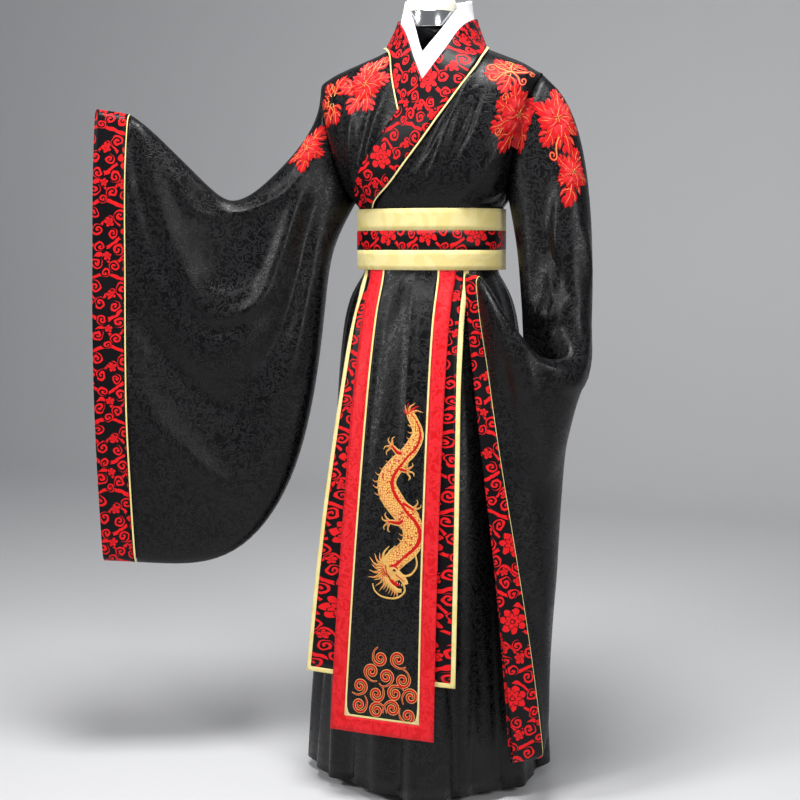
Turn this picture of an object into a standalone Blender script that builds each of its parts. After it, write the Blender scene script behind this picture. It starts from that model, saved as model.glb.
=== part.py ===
"""Wide-sleeved hanfu robe with collar, belt and two hanging panels, worn by a limbless dress form.

Metres, +Z up. The form faces -Y, and the origin is under the middle of its base, on the floor.
The wearer's left is +X. Every cloth piece is a thin wall on a smooth surface worked out from the
short tables below: the body surface (a section for each height), the two sleeves (a flat loop
for each station from armhole to cuff) and the two panels that hang in front.
"""

import math
from bisect import bisect_right
from functools import lru_cache

import bmesh
import bpy
import numpy as np
from mathutils import Vector

CLOTH = 0.0015
BAND = 0.0020
SEAM = 0.0004

HEM_Z = 0.020
BELT_Z = (1.050, 1.0900, 1.1285, 1.172)
ARMPIT_Z = 1.190
SHOULDER_Z = 1.440
NECK_Z = 1.495
SHOULDER_X = 0.235
ARMPIT_X = 0.165
ARMHOLE_STAND = 0.0052
NECK_X = 0.0975
ARMHOLE_HALF_GAP = 0.055
SQUARENESS = 2.2
# At its open edges a wall takes the surface's own normal, which its neighbour shares, unless
# the cosine between that and its mesh's normal is less than this.
LEAST_AGREED = 0.6

# How far the middle of each layer stands off the body surface.
WHITE_UNDER, WHITE_OVER = -0.0032, 0.0006
UNDER_FRONT = 0.0030
UNDER_COLLAR = 0.0074
OVER_FRONT = 0.0100
OVER_COLLAR = 0.0136
BELT_OUT = 0.0200

# z, half width, front depth, back depth, middle y
BODY = (
    (0.020, 0.230, 0.236, 0.234, 0.000),
    (0.300, 0.218, 0.212, 0.212, 0.000),
    (0.600, 0.202, 0.180, 0.184, 0.000),
    (0.850, 0.186, 0.147, 0.156, 0.000),
    (0.960, 0.176, 0.124, 0.136, 0.000),
    (1.020, 0.153, 0.101, 0.113, 0.000),
    (1.046, 0.1362, 0.0941, 0.0982, 0.000),
    (1.060, 0.1360, 0.0940, 0.0980, 0.000),
    (1.1745, 0.1380, 0.0945, 0.0985, 0.000),
    (1.190, 0.165, 0.106, 0.106, 0.000),
    (1.260, 0.1846, 0.116, 0.110, 0.000),
    (1.320, 0.2014, 0.116, 0.110, 0.000),
    (1.380, 0.2182, 0.104, 0.100, 0.000),
    (1.440, 0.235, 0.090, 0.086, 0.000),
    (1.495, 0.0975, 0.121, 0.051, 0.049),
    (1.530, 0.0825, 0.122, 0.045, 0.056),
    (1.562, 0.0740, 0.121, 0.041, 0.060),
    (1.620, 0.0680, 0.117, 0.040, 0.060),
)

# Skirt folds: direction in degrees from the front towards the wearer's left, half width in
# degrees, how far the crest stands out at the hem, and the height where the fold dies out.
SKIRT_FOLDS = (
    (-84, 13, 0.016, 0.80),
    (-58, 12, 0.013, 0.62),
    (-24, 15, -0.012, 0.40),
    (22, 14, 0.026, 0.70),
    (45, 11, -0.014, 0.60),
    (68, 12, 0.016, 0.72),
    (96, 13, 0.014, 0.85),
    (123, 12, -0.014, 0.75),
    (146, 13, 0.024, 0.95),
    (171, 12, -0.012, 0.85),
    (192, 13, 0.020, 0.90),
    (218, 12, -0.014, 0.70),
    (243, 13, 0.022, 0.92),
)

# Each front's neckline: z, x on the side where that front ends.
OVER_NECKLINE = (
    (1.172, -0.084),
    (1.219, -0.046),
    (1.270, -0.002),
    (1.308, 0.028),
    (1.3577, 0.067),
    (1.400, 0.096),
    (1.436, 0.118),
    (1.456, 0.125),
    (1.472, 0.122),
    (1.486, 0.109),
    (1.495, 0.0975),
)
UNDER_NECKLINE = (
    (1.172, -0.0528),
    (1.250, -0.025),
    (1.300, -0.004),
    (1.3623, 0.020),
    (1.400, 0.032),
    (1.430, 0.041),
    (1.450, 0.045),
    (1.470, 0.051),
    (1.482, 0.064),
    (1.488, 0.083),
    (1.495, 0.0975),
)

# Half a collar, from its end in front to the middle of the back: place, then direction in
# degrees and height of the outer edge, and the same of the inner edge.
OVER_COLLAR_EDGES = (
    (0.00, -38.0, 1.110, -58.0, 1.110),
    (0.06, -37.0, 1.1735, -54.0, 1.1735),
    (0.14, -26.0, 1.194, -44.0, 1.219),
    (0.22, -13.3, 1.219, -35.0, 1.252),
    (0.32, 1.0, 1.268, -22.5, 1.294),
    (0.40, 10.5, 1.308, -13.0, 1.329),
    (0.50, 20.4, 1.3577, -3.5, 1.374),
    (0.58, 27.3, 1.400, 4.0, 1.4125),
    (0.64, 33.0, 1.436, 12.0, 1.450),
    (0.69, 43.5, 1.4565, 25.5, 1.479),
    (0.74, 57.0, 1.4705, 43.0, 1.508),
    (0.80, 80.0, 1.4865, 66.0, 1.545),
    (0.88, 118.0, 1.4975, 112.0, 1.561),
    (1.00, 180.0, 1.4975, 180.0, 1.562),
)
UNDER_COLLAR_EDGES = (
    (0.20, -14.0, 1.205, -34.0, 1.225),
    (0.32, -5.0, 1.262, -24.0, 1.285),
    (0.42, 1.5, 1.310, -17.0, 1.332),
    (0.52, 6.7, 1.3623, -10.5, 1.380),
    (0.60, 10.0, 1.404, -5.5, 1.4175),
    (0.66, 13.2, 1.445, -1.5, 1.453),
    (0.71, 20.5, 1.472, 6.5, 1.489),
    (0.76, 34.0, 1.4845, 19.0, 1.524),
    (0.82, 60.0, 1.4910, 48.0, 1.549),
    (0.90, 106.0, 1.4975, 100.0, 1.561),
    (1.00, 180.0, 1.4975, 180.0, 1.562),
)
UNDER_COLLAR_END = 0.90

# The white collar inside, in the same way.
OVER_WHITE_EDGES = (
    (0.00, -3.0, 1.345, -14.0, 1.361),
    (0.24, 7.5, 1.408, -6.0, 1.435),
    (0.38, 15.5, 1.441, 5.0, 1.4775),
    (0.50, 28.0, 1.469, 19.5, 1.505),
    (0.60, 47.0, 1.498, 34.0, 1.5305),
    (0.70, 66.0, 1.522, 51.0, 1.5595),
    (0.80, 90.0, 1.537, 74.0, 1.5905),
    (0.90, 134.0, 1.541, 124.0, 1.599),
    (1.00, 180.0, 1.541, 180.0, 1.600),
)
UNDER_WHITE_EDGES = (
    (0.00, -8.0, 1.345, -20.0, 1.361),
    (0.24, -1.0, 1.412, -13.0, 1.435),
    (0.38, 4.5, 1.448, -5.0, 1.4795),
    (0.50, 15.0, 1.482, 0.3, 1.508),
    (0.60, 26.0, 1.507, 8.0, 1.537),
    (0.70, 42.0, 1.526, 21.0, 1.564),
    (0.80, 76.0, 1.537, 50.0, 1.592),
    (0.90, 130.0, 1.541, 118.0, 1.600),
    (1.00, 180.0, 1.541, 180.0, 1.600),
)

# Sleeve held out to the wearer's right, in the upright plane along HELD_HEADING from the form.
# place, top reach, top z, bottom reach, bottom z, behind, half thickness, flatness, bow
HELD_HEADING = math.radians(22)
HELD = (
    (0.00, 0.2180, 1.440, 0.1530, 1.190, 0.0000, 0.0560, 0.00, 0.000),
    (0.07, 0.2330, 1.372, 0.1940, 1.125, 0.0720, 0.0500, 0.30, 0.000),
    (0.15, 0.2640, 1.318, 0.2130, 1.063, 0.0660, 0.0440, 0.60, 0.000),
    (0.24, 0.3020, 1.272, 0.2220, 0.985, 0.0600, 0.0400, 0.85, 0.000),
    (0.34, 0.3470, 1.228, 0.2330, 0.880, 0.0530, 0.0360, 1.00, 0.002),
    (0.44, 0.3900, 1.195, 0.2510, 0.765, 0.0460, 0.0330, 1.00, 0.006),
    (0.54, 0.4280, 1.190, 0.2880, 0.620, 0.0390, 0.0310, 1.00, 0.012),
    (0.64, 0.4760, 1.237, 0.3600, 0.497, 0.0320, 0.0290, 1.00, 0.018),
    (0.74, 0.5300, 1.290, 0.4520, 0.432, 0.0240, 0.0270, 1.00, 0.020),
    (0.84, 0.5820, 1.342, 0.5420, 0.427, 0.0160, 0.0240, 1.00, 0.018),
    (0.92, 0.6180, 1.366, 0.6250, 0.434, 0.0080, 0.0210, 1.00, 0.014),
    (1.00, 0.6800, 1.375, 0.6870, 0.439, 0.0000, 0.0190, 1.00, 0.014),
)

# Sleeve let down on the wearer's left, its cuff top at the belt.
# place, top x y z, bottom x y z, facing in degrees, twist from top to bottom in degrees,
# half thickness, flatness, bow
HUNG = (
    (0.00, 0.235, 0.000, 1.440, 0.165, 0.000, 1.190, 180, 0, 0.0560, 0.0, 0.000),
    (0.08, 0.300, -0.008, 1.372, 0.194, -0.004, 1.090, 174, 0, 0.0540, 0.3, 0.000),
    (0.18, 0.335, -0.020, 1.230, 0.206, -0.018, 1.000, 171, 0, 0.0500, 0.6, 0.000),
    (0.28, 0.350, -0.035, 1.080, 0.214, -0.030, 0.930, 168, 0, 0.0460, 0.8, 0.000),
    (0.36, 0.354, -0.060, 0.975, 0.222, -0.040, 0.830, 156, 0, 0.0400, 0.9, 0.000),
    (0.46, 0.346, -0.108, 0.890, 0.252, -0.030, 0.640, 122, 10, 0.0340, 1.0, 0.000),
    (0.57, 0.300, -0.164, 0.880, 0.262, -0.070, 0.430, 80, 30, 0.0300, 1.0, 0.004),
    (0.69, 0.238, -0.180, 0.945, 0.276, -0.112, 0.240, 50, 50, 0.0260, 1.0, 0.008),
    (0.81, 0.186, -0.158, 1.015, 0.287, -0.1225, 0.1460, 32, 58, 0.0220, 1.0, 0.014),
    (0.92, 0.152, -0.128, 1.040, 0.290, -0.156, 0.102, 22, 54, 0.0180, 1.0, 0.020),
    (1.00, 0.122, -0.112, 1.044, 0.246, -0.192, 0.100, 18, 40, 0.0140, 1.0, 0.022),
)

# Soft ridges across the sleeves: share from armhole to cuff, share from top edge to bottom
# edge, for three points, then half width in metres and how far the cloth stands out.
HELD_FOLDS = (
    ((0.88, 0.06), (0.72, 0.38), (0.56, 0.42), 0.050, 0.020),
    ((0.14, 0.10), (0.38, 0.52), (0.66, 0.50), 0.055, 0.020),
    ((0.42, 0.80), (0.66, 0.82), (0.86, 0.68), 0.060, 0.012),
    ((0.96, 0.30), (0.80, 0.55), (0.70, 0.62), 0.045, -0.012),
)
HUNG_FOLDS = (
    ((0.06, 0.30), (0.18, 0.55), (0.30, 0.80), 0.045, 0.012),
    ((0.95, 0.06), (0.66, 0.10), (0.48, 0.10), 0.050, 0.014),
    ((0.90, 0.16), (0.74, 0.38), (0.56, 0.55), 0.055, -0.012),
    ((0.88, 0.45), (0.76, 0.70), (0.62, 0.85), 0.050, 0.012),
)

CUFF_PLACE = 0.92
PIPING_PLACE = 0.914
# The seams there, as a share of the way, about a SEAM wide where the stations lie closest.
CUFF_SEAM = 0.0021

# Hanging panels: z, half width, middle x, how far in front of the body, flatness.
UNDER_PANEL = (
    (0.250, 0.160, -0.0125, 0.0300, 0.86),
    (0.500, 0.150, -0.0090, 0.0260, 0.78),
    (0.800, 0.130, -0.0030, 0.0190, 0.58),
    (0.980, 0.117, 0.0000, 0.0140, 0.22),
    (1.045, 0.112, 0.0000, 0.0130, 0.02),
    (1.080, 0.110, 0.0000, 0.0130, 0.00),
)
FRONT_PANEL = (
    (0.145, 0.1100, 0.001, 0.0380, 0.90),
    (0.500, 0.1030, 0.000, 0.0320, 0.84),
    (0.800, 0.0970, 0.000, 0.0235, 0.64),
    (0.980, 0.0920, 0.000, 0.0174, 0.24),
    (1.045, 0.0905, 0.000, 0.0161, 0.02),
    (1.080, 0.0900, 0.000, 0.0160, 0.00),
)
BINDING_WIDTH = 0.009
BORDER_WIDTH = 0.030
PIPING_WIDTH = 0.0035

# Dress form: z, half width, half depth, middle y.
FORM = (
    (0.800, 0.140, 0.100, 0.0),
    (0.806, 0.148, 0.108, 0.0),
    (0.880, 0.158, 0.118, 0.0),
    (0.960, 0.146, 0.106, 0.0),
    (1.040, 0.118, 0.080, 0.0),
    (1.110, 0.114, 0.078, 0.0),
    (1.180, 0.124, 0.084, 0.0),
    (1.260, 0.148, 0.104, 0.0),
    (1.340, 0.160, 0.096, 0.0),
    (1.400, 0.172, 0.082, 0.0),
    (1.440, 0.180, 0.070, 0.002),
    (1.455, 0.183, 0.060, 0.0120),
    (1.464, 0.178, 0.055, 0.0210),
    (1.472, 0.158, 0.052, 0.0280),
    (1.480, 0.138, 0.049, 0.0350),
    (1.488, 0.1175, 0.046, 0.0420),
    (1.494, 0.100, 0.046, 0.0400),
    (1.502, 0.078, 0.051, 0.0250),
    (1.512, 0.061, 0.0530, 0.0100),
    (1.5317, 0.0535, 0.0535, 0.0),
)
NECK_RING = (1.532, 1.565, 0.0545)
NECK_CAP_TOP = 1.613
POLE_RADIUS = 0.0125
BASE_RADIUS = 0.150
BASE_HEIGHT = 0.014

COLOURS = {
    "satin": ((0.012, 0.012, 0.014, 1), 0.42, 0.0),
    "brocade": ((0.42, 0.010, 0.022, 1), 0.50, 0.0),
    "red_satin": ((0.50, 0.012, 0.024, 1), 0.38, 0.0),
    "cream": ((0.82, 0.68, 0.34, 1), 0.46, 0.0),
    "white": ((0.86, 0.86, 0.85, 1), 0.60, 0.0),
    "form_cover": ((0.010, 0.010, 0.012, 1), 0.70, 0.0),
    "chrome": ((0.74, 0.74, 0.76, 1), 0.14, 1.0),
    "ivory": ((0.80, 0.79, 0.75, 1), 0.40, 0.0),
}


def clear_scene():
    for obj in list(bpy.data.objects):
        bpy.data.objects.remove(obj)


def material(node, finish):
    colour, roughness, metallic = COLOURS[finish]
    made = bpy.data.materials.new(node)
    made.use_nodes = True
    shader = made.node_tree.nodes["Principled BSDF"]
    shader.inputs["Base Color"].default_value = colour
    shader.inputs["Roughness"].default_value = roughness
    shader.inputs["Metallic"].default_value = metallic
    return made


def add_object(name, shape, finish):
    mesh = bpy.data.meshes.new(name)
    shape.to_mesh(mesh)
    shape.free()
    mesh.shade_smooth()
    mesh.set_sharp_from_angle(angle=math.radians(50))
    obj = bpy.data.objects.new(name, mesh)
    obj.data.materials.append(material(name, finish))
    bpy.context.scene.collection.objects.link(obj)
    return obj


def slope_between(before, after, left, right):
    """A slope that lets the curve through three values pass neither above nor below them."""
    if left * right <= 0:
        return 0.0
    near, far = 2 * after + before, after + 2 * before
    return (near + far) / (near / left + far / right)


@lru_cache(maxsize=None)
def with_slopes(table):
    keys = [row[0] for row in table]
    rows = [row[1:] for row in table]
    steps = [high - low for low, high in zip(keys[:-1], keys[1:])]
    lines = [
        [(b - a) / step for a, b in zip(low, high)]
        for low, high, step in zip(rows[:-1], rows[1:], steps)
    ]
    slopes = [lines[0]]
    for i in range(1, len(steps)):
        pairs = zip(lines[i - 1], lines[i])
        slopes.append([slope_between(steps[i - 1], steps[i], a, b) for a, b in pairs])
    return keys, rows, slopes + [lines[-1]]


def row_at(table, place):
    """The table's row at this place in its first column, on a smooth curve through its rows."""
    keys, rows, slopes = with_slopes(table)
    place = min(max(place, keys[0]), keys[-1])
    first = min(bisect_right(keys, place) - 1, len(keys) - 2)
    step = keys[first + 1] - keys[first]
    share = (place - keys[first]) / step
    rise = share * share * (3 - 2 * share)
    near, far = (1 - share) ** 2 * share * step, share * share * (1 - share) * step
    ends = zip(rows[first], rows[first + 1], slopes[first], slopes[first + 1])
    return [a * (1 - rise) + b * rise + near * p - far * q for a, b, p, q in ends]


def straight_at(table, place):
    """The table's row at this place, on straight lines between its rows."""
    keys, rows, _ = with_slopes(table)
    place = min(max(place, keys[0]), keys[-1])
    first = min(bisect_right(keys, place) - 1, len(keys) - 2)
    share = (place - keys[first]) / (keys[first + 1] - keys[first])
    return [a + (b - a) * share for a, b in zip(rows[first], rows[first + 1])]


def ease(value, low, high):
    share = min(max((value - low) / (high - low), 0.0), 1.0)
    return share * share * (3 - 2 * share)


def armhole_gap(z):
    across = (z - (ARMPIT_Z + SHOULDER_Z) / 2) / ((SHOULDER_Z - ARMPIT_Z) / 2)
    return ARMHOLE_HALF_GAP * math.sqrt(max(0.0, 1 - across * across))


def body_sizes(z):
    if z > SHOULDER_Z:
        return tuple(straight_at(BODY, z))
    if z > ARMPIT_Z:
        return straight_at(BODY, z)[0], *row_at(BODY, z)[1:]
    return tuple(row_at(BODY, z))


def fold_out(direction, z):
    """How far the skirt's folds push the cloth out, in this direction and at this height."""
    out = 0.0
    for middle, half_width, crest, top in SKIRT_FOLDS:
        away = (math.degrees(direction) - middle + 180) % 360 - 180
        if abs(away) < 2 * half_width:
            bell = math.cos(away / half_width * math.pi / 4) ** 2
            out += crest * bell * (1 - ease(z, HEM_Z, top)) ** 1.3
    return out


def depth_at(x, z, back=False):
    """How far the body surface stands in front of, or behind, the side seams."""
    half, front, rear, _ = body_sizes(z)
    depth = rear if back else front
    gap = armhole_gap(z)
    share = min(abs(x) / half, 1.0)
    return gap + (depth - gap) * (1 - share**SQUARENESS) ** (1 / SQUARENESS)


def body_point(direction, z):
    """The body surface in this direction, 0 at the front and half a turn at the back."""
    back = math.cos(direction) < 0
    x = body_sizes(z)[0] * math.sin(direction)
    y = depth_at(x, z, back) * (1 if back else -1)
    push = 1 + fold_out(direction, z) / math.hypot(x, y)
    return Vector((x * push, y * push + body_sizes(z)[3], z))


def normal_of(place, u, v):
    """The direction out of the surface, from short steps along u and v."""
    small = 1e-3
    ahead_u, behind_u = min(u + small, 1.0), max(u - small, 0.0)
    ahead_v, behind_v = min(v + small, 1.0), max(v - small, 0.0)
    along = place(ahead_u, v) - place(behind_u, v)
    up = place(u, ahead_v) - place(u, behind_v)
    return along.cross(up).normalized()


def raised(place, height):
    """The same surface, moved out by a height, which may be a function of u and v."""

    def moved(u, v):
        out = height(u, v) if callable(height) else height
        return place(u, v) + normal_of(place, u, v) * out

    return moved


def same_split(grid, corners):
    """A cell's two triangles, along its shorter diagonal, so that both sides of a wall agree."""
    a, b, c, d = (grid[row][column] for row, column in corners)
    if (c - a).length <= (d - b).length:
        return corners[:3], corners[2:] + corners[:1]
    return corners[1:], corners[:2] + corners[3:]


def corner_normals(grid, triangles):
    """At each point, the mean of the normals of the triangles there, by their angles."""
    normals = [[Vector() for _ in row] for row in grid]
    for triangle in triangles:
        points = [grid[row][column] for row, column in triangle]
        facing = (points[1] - points[0]).cross(points[2] - points[0]).normalized()
        for i, (row, column) in enumerate(triangle):
            to_next, to_last = points[i - 2] - points[i], points[i - 1] - points[i]
            normals[row][column] += facing * to_next.angle(to_last)
    return [[normal.normalized() for normal in row] for row in normals]


def wall(name, place, across, up, thickness, finish, closed=False):
    """A thin wall about the surface place(u, v), closed into a tube along u where asked."""
    grid = [[place(u, v) for u in (across[:-1] if closed else across)] for v in up]
    columns = len(grid[0])
    spans = columns if closed else columns - 1
    triangles = []
    for j in range(len(up) - 1):
        for i in range(spans):
            k = (i + 1) % columns
            triangles += same_split(grid, [(j, i), (j, k), (j + 1, k), (j + 1, i)])
    normals = corner_normals(grid, triangles)
    for j, v in enumerate(up):
        for i in range(columns):
            inside = closed or 0 < i < columns - 1
            if inside and 0 < j < len(up) - 1:
                continue
            seam = normal_of(place, across[i], v)
            if seam.dot(normals[j][i]) > LEAST_AGREED:
                normals[j][i] = seam
    shape = bmesh.new()
    outer, inner = (
        [
            [shape.verts.new(p + n * side * thickness) for p, n in zip(*pair)]
            for pair in zip(grid, normals)
        ]
        for side in (0.5, -0.5)
    )
    for cell in triangles:
        shape.faces.new([outer[row][column] for row, column in cell])
        shape.faces.new([inner[row][column] for row, column in reversed(cell)])
    for i in range(spans):
        k = (i + 1) % columns
        shape.faces.new((outer[0][i], inner[0][i], inner[0][k], outer[0][k]))
        shape.faces.new((outer[-1][i], outer[-1][k], inner[-1][k], inner[-1][i]))
    if not closed:
        for j in range(len(up) - 1):
            shape.faces.new((outer[j][0], outer[j + 1][0], inner[j + 1][0], inner[j][0]))
            shape.faces.new((outer[j][-1], inner[j][-1], inner[j + 1][-1], outer[j + 1][-1]))
    bmesh.ops.triangulate(shape, faces=[face for face in shape.faces if len(face.verts) > 3])
    return add_object(name, shape, finish)


def even(count, low=0.0, high=1.0):
    return [low + (high - low) * i / count for i in range(count + 1)]


SKIRT_ROWS = (0.020, 0.130, 0.270, 0.430, 0.600, 0.760, 0.880, 0.965, 1.015, 1.040)
WAIST_ROWS = (1.060, 1.172)
BODICE_RISE = (0.06, 0.20, 0.36, 0.54, 0.70, 0.83, 0.92, 0.975, 1.0)
PANEL_ROWS = (0.300, 0.420, 0.560, 0.700, 0.820, 0.910, 0.970, 1.010, 1.032, 1.048, 1.080)
COLUMN_STEP = 7.5
OVER_EDGE = -37.5
UNDER_EDGE = 22.5
BACK_NECK_SHARE = 0.5


def body_row(share):
    """Height up to the belt's top edge, and above it the bodice's own rise from 0 to 1."""
    levels = SKIRT_ROWS + WAIST_ROWS + tuple(BELT_Z[3] + rise for rise in BODICE_RISE)
    place = share * (len(levels) - 1)
    first = min(int(place), len(levels) - 2)
    return levels[first] + (levels[first + 1] - levels[first]) * (place - first)


def bodice_point(direction, edge, neckline, rise):
    """A point of a bodice front, on the line from its side or armhole to its neckline."""
    side_z = BELT_Z[3] + (SHOULDER_Z - BELT_Z[3]) * rise
    neck_z = BELT_Z[3] + (NECK_Z - BELT_Z[3]) * rise
    side_x = body_sizes(side_z)[0]
    share = (1 - math.sin(direction)) / (1 - math.sin(edge))
    x = side_x + (row_at(neckline, neck_z)[0] - side_x) * share
    z = side_z + (neck_z - side_z) * share
    return Vector((x, body_sizes(z)[3] - depth_at(x, z), z))


def back_bodice_point(direction, rise):
    """A point of the bodice back, which ends on the shoulder lines and round the neck."""
    share = abs(math.sin(direction))
    past = max(0.0, share - BACK_NECK_SHARE) / (1 - BACK_NECK_SHARE)
    top_x = NECK_X * min(share / BACK_NECK_SHARE, 1) + (SHOULDER_X - NECK_X) * past
    top_z = NECK_Z + (SHOULDER_Z - NECK_Z) * past
    side_x = body_sizes(BELT_Z[3] + (SHOULDER_Z - BELT_Z[3]) * rise)[0]
    x = side_x * (share + (top_x / SHOULDER_X - share) * rise)
    z = BELT_Z[3] + (top_z - BELT_Z[3]) * rise
    y = body_sizes(z)[3] + depth_at(x, z, True)
    return Vector((math.copysign(x, math.sin(direction)), y, z))


def front_left_surface(u, v):
    """The over front, from its free edge to the side seam and from hem to shoulder."""
    level = body_row(v)
    edge = math.radians(OVER_EDGE)
    direction = edge + (math.pi / 2 - edge) * u
    if level > BELT_Z[3]:
        point = bodice_point(direction, edge, OVER_NECKLINE, level - BELT_Z[3])
    else:
        point = body_point(direction, level)
    point.y -= SEAM
    return point


def front_right_surface(u, v):
    """The under front, from its side seam to its hidden edge."""
    level = body_row(v)
    edge = math.radians(-UNDER_EDGE)
    direction = edge + (math.pi / 2 - edge) * (1 - u)
    if level > BELT_Z[3]:
        point = bodice_point(direction, edge, UNDER_NECKLINE, level - BELT_Z[3])
        point.x = -point.x
    else:
        point = body_point(-direction, level)
    point.y -= SEAM
    return point


def back_surface(u, v):
    """The back, from the wearer's left side seam to the right one."""
    level = body_row(v)
    direction = math.pi / 2 + math.pi * u
    if level > BELT_Z[3]:
        point = back_bodice_point(direction, level - BELT_Z[3])
    else:
        point = body_point(direction, level)
    point.y += SEAM
    return point


def collar_surface(over, under):
    """A collar, from the over side's end round the neck to the under side's end."""

    def place(u, v):
        crossed = u > 0.5
        along = 2 * (1 - u if crossed else u)
        outer, outer_z, inner, inner_z = row_at(under if crossed else over, along)
        direction = math.radians(outer + (inner - outer) * v)
        z = outer_z + (inner_z - outer_z) * v
        return body_point(-direction if crossed else direction, z)

    return place


def collar_height(over, under, start, end, settled=0.0):
    """Falls from one height to the other along the collar, and settles towards its inner edge."""
    return lambda u, v: over + (under - over) * ease(u, start, end) - settled * ease(v, 0.2, 1)


def loop_section(turn, length, half, flatness):
    """A place round a flat loop: share from its top to its bottom end, and its own thickness."""
    cap = min(half / length, 0.45)
    side = -1 if turn < 0.5 else 1
    half_turn = (turn % 0.5) * 2
    if turn >= 0.5:
        half_turn = 1 - half_turn
    caps = 0.12
    if half_turn < caps:
        angle = half_turn / caps * math.pi / 2
        share, flat = cap * (1 - math.cos(angle)), math.sin(angle)
    elif half_turn > 1 - caps:
        angle = (1 - half_turn) / caps * math.pi / 2
        share, flat = 1 - cap * (1 - math.cos(angle)), math.sin(angle)
    else:
        share = cap + (1 - 2 * cap) * (half_turn - caps) / (1 - 2 * caps)
        flat = 1.0
    oval = math.sqrt(max(0.0, 1 - (2 * share - 1) ** 2))
    return share, side * half * (oval + (flat - oval) * flatness)


def ridge(folds, place, share, length, reach):
    """How far the sleeve's folds push its cloth out at this place."""
    out = 0.0
    here = np.array((place * reach, share * length))
    for *points, half_width, crest in folds:
        corners = np.array([(p * reach, s * length) for p, s in points])
        nearest = 1e9
        for start, end in zip(corners[:-1], corners[1:]):
            run = end - start
            part = min(max(float((here - start) @ run / (run @ run)), 0.0), 1.0)
            nearest = min(nearest, float(np.linalg.norm(start + run * part - here)))
        out += crest * math.exp(-((nearest / half_width) ** 2))
    return out


def held_point(turn, place):
    """The sleeve held out: round the flat loop, and from armhole to cuff."""
    top_s, top_z, low_s, low_z, behind, half, flatness, bow = row_at(HELD, place)
    length = math.hypot(top_s - low_s, top_z - low_z)
    share, out = loop_section(turn, length, half, flatness)
    reach = top_s + (low_s - top_s) * share + 4 * bow * share * (1 - share)
    z = top_z + (low_z - top_z) * share
    fade = ease(place, 0.02, 0.20) * ease(share, 0.0, 0.06) * ease(1 - share, 0.0, 0.06)
    out += -0.7 * fade * ridge(HELD_FOLDS, place, share, length, 0.55)
    behind += out
    c, s = math.cos(HELD_HEADING), math.sin(HELD_HEADING)
    plane = Vector((-c * reach - s * behind, -s * reach + c * behind, z))
    start = 1 - ease(place, 0.0, 0.07)
    if start > 0:
        top = Vector((-SHOULDER_X - ARMHOLE_STAND, 0, SHOULDER_Z))
        low = Vector((-ARMPIT_X - ARMHOLE_STAND, 0, ARMPIT_Z))
        armhole = top.lerp(low, share)
        armhole.y += out
        return plane.lerp(armhole, start)
    return plane


def hung_point(turn, place):
    """The sleeve let down: round the flat loop, and from armhole to cuff."""
    values = row_at(HUNG, place)
    top, low = Vector(values[0:3]), Vector(values[3:6])
    facing, twist, half, flatness, bow = values[6:11]
    length = (top - low).length
    share, out = loop_section(turn, length, half, flatness)
    along = (low - top).normalized()
    angle = math.radians(facing + twist * (share - 0.5))
    outward = Vector((math.sin(angle), -math.cos(angle), 0))
    outward = (outward - along * outward.dot(along)).normalized()
    fade = ease(place, 0.02, 0.20) * ease(share, 0.0, 0.06) * ease(1 - share, 0.0, 0.06)
    out = -out + 0.7 * fade * ridge(HUNG_FOLDS, place, share, length, 0.75)
    point = top.lerp(low, share) + outward * (out + 4 * bow * share * (1 - share))
    point.x += ARMHOLE_STAND * (1 - ease(place, 0.0, 0.08))
    return point


def panel_point(table, x, z):
    """A place on a hanging panel's surface, which follows the belt above and hangs flat below."""
    _, _, out, flatness = row_at(table, z)
    half, depth = body_sizes(z)[:2]
    half, depth = half + out, depth + out
    rounded = depth * (1 - min(abs(x) / half, 1) ** SQUARENESS) ** (1 / SQUARENESS)
    return Vector((x, -(rounded + (depth - rounded) * flatness), z))


def panel_levels(table, inset):
    """The heights of a panel's rows, from just above its lower edge to under the belt."""
    low = table[0][0] + inset
    return [low] + [z for z in PANEL_ROWS if z > low + 0.03]


def panel_surface(table, margin):
    """The middle of a panel, inside a margin at its sides and lower edge."""
    levels = panel_levels(table, margin)

    def place(u, v):
        at = v * (len(levels) - 1)
        first = min(int(at), len(levels) - 2)
        z = levels[first] + (levels[first + 1] - levels[first]) * (at - first)
        half, middle = row_at(table, z)[:2]
        return panel_point(table, middle + (half - margin) * (2 * u - 1), z)

    return place, even(len(levels) - 1)


def panel_edge(table, start, end, across):
    """A strip down one side of a panel, along its lower edge and up the other side."""
    levels = panel_levels(table, 0.0)
    sides = len(levels) - 1
    last = 2 * sides + across

    def place(u, v):
        at = u * last
        inset = start + (end - start) * v
        if at <= sides or at >= sides + across:
            down = min(at, last - at)
            step = min(int(down), sides - 1)
            high, low = levels[sides - step], levels[sides - step - 1]
            z = high + (low - high) * (down - step)
            if step == sides - 1:
                z += inset * (down - step)
            share = 0.0 if at <= sides else 1.0
        else:
            z = levels[0] + inset
            share = (at - sides) / across
        half, middle = row_at(table, z)[:2]
        return panel_point(table, middle + (half - inset) * (2 * share - 1), z)

    return place, even(last)


def turned(name, profile, finish, segments=24):
    """A round piece from a profile of radius and height, closed at both ends on the axis."""
    shape = bmesh.new()
    verts = [shape.verts.new((radius, 0, z)) for radius, z in profile]
    edges = [shape.edges.new(pair) for pair in zip(verts[:-1], verts[1:])]
    bmesh.ops.spin(
        shape,
        geom=verts + edges,
        cent=(0, 0, 0),
        axis=(0, 0, 1),
        angle=2 * math.pi,
        steps=segments,
        use_merge=True,
    )
    bmesh.ops.remove_doubles(shape, verts=shape.verts[:], dist=1e-6)
    bmesh.ops.recalc_face_normals(shape, faces=shape.faces[:])
    bmesh.ops.triangulate(shape, faces=shape.faces[:])
    return add_object(name, shape, finish)


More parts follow.
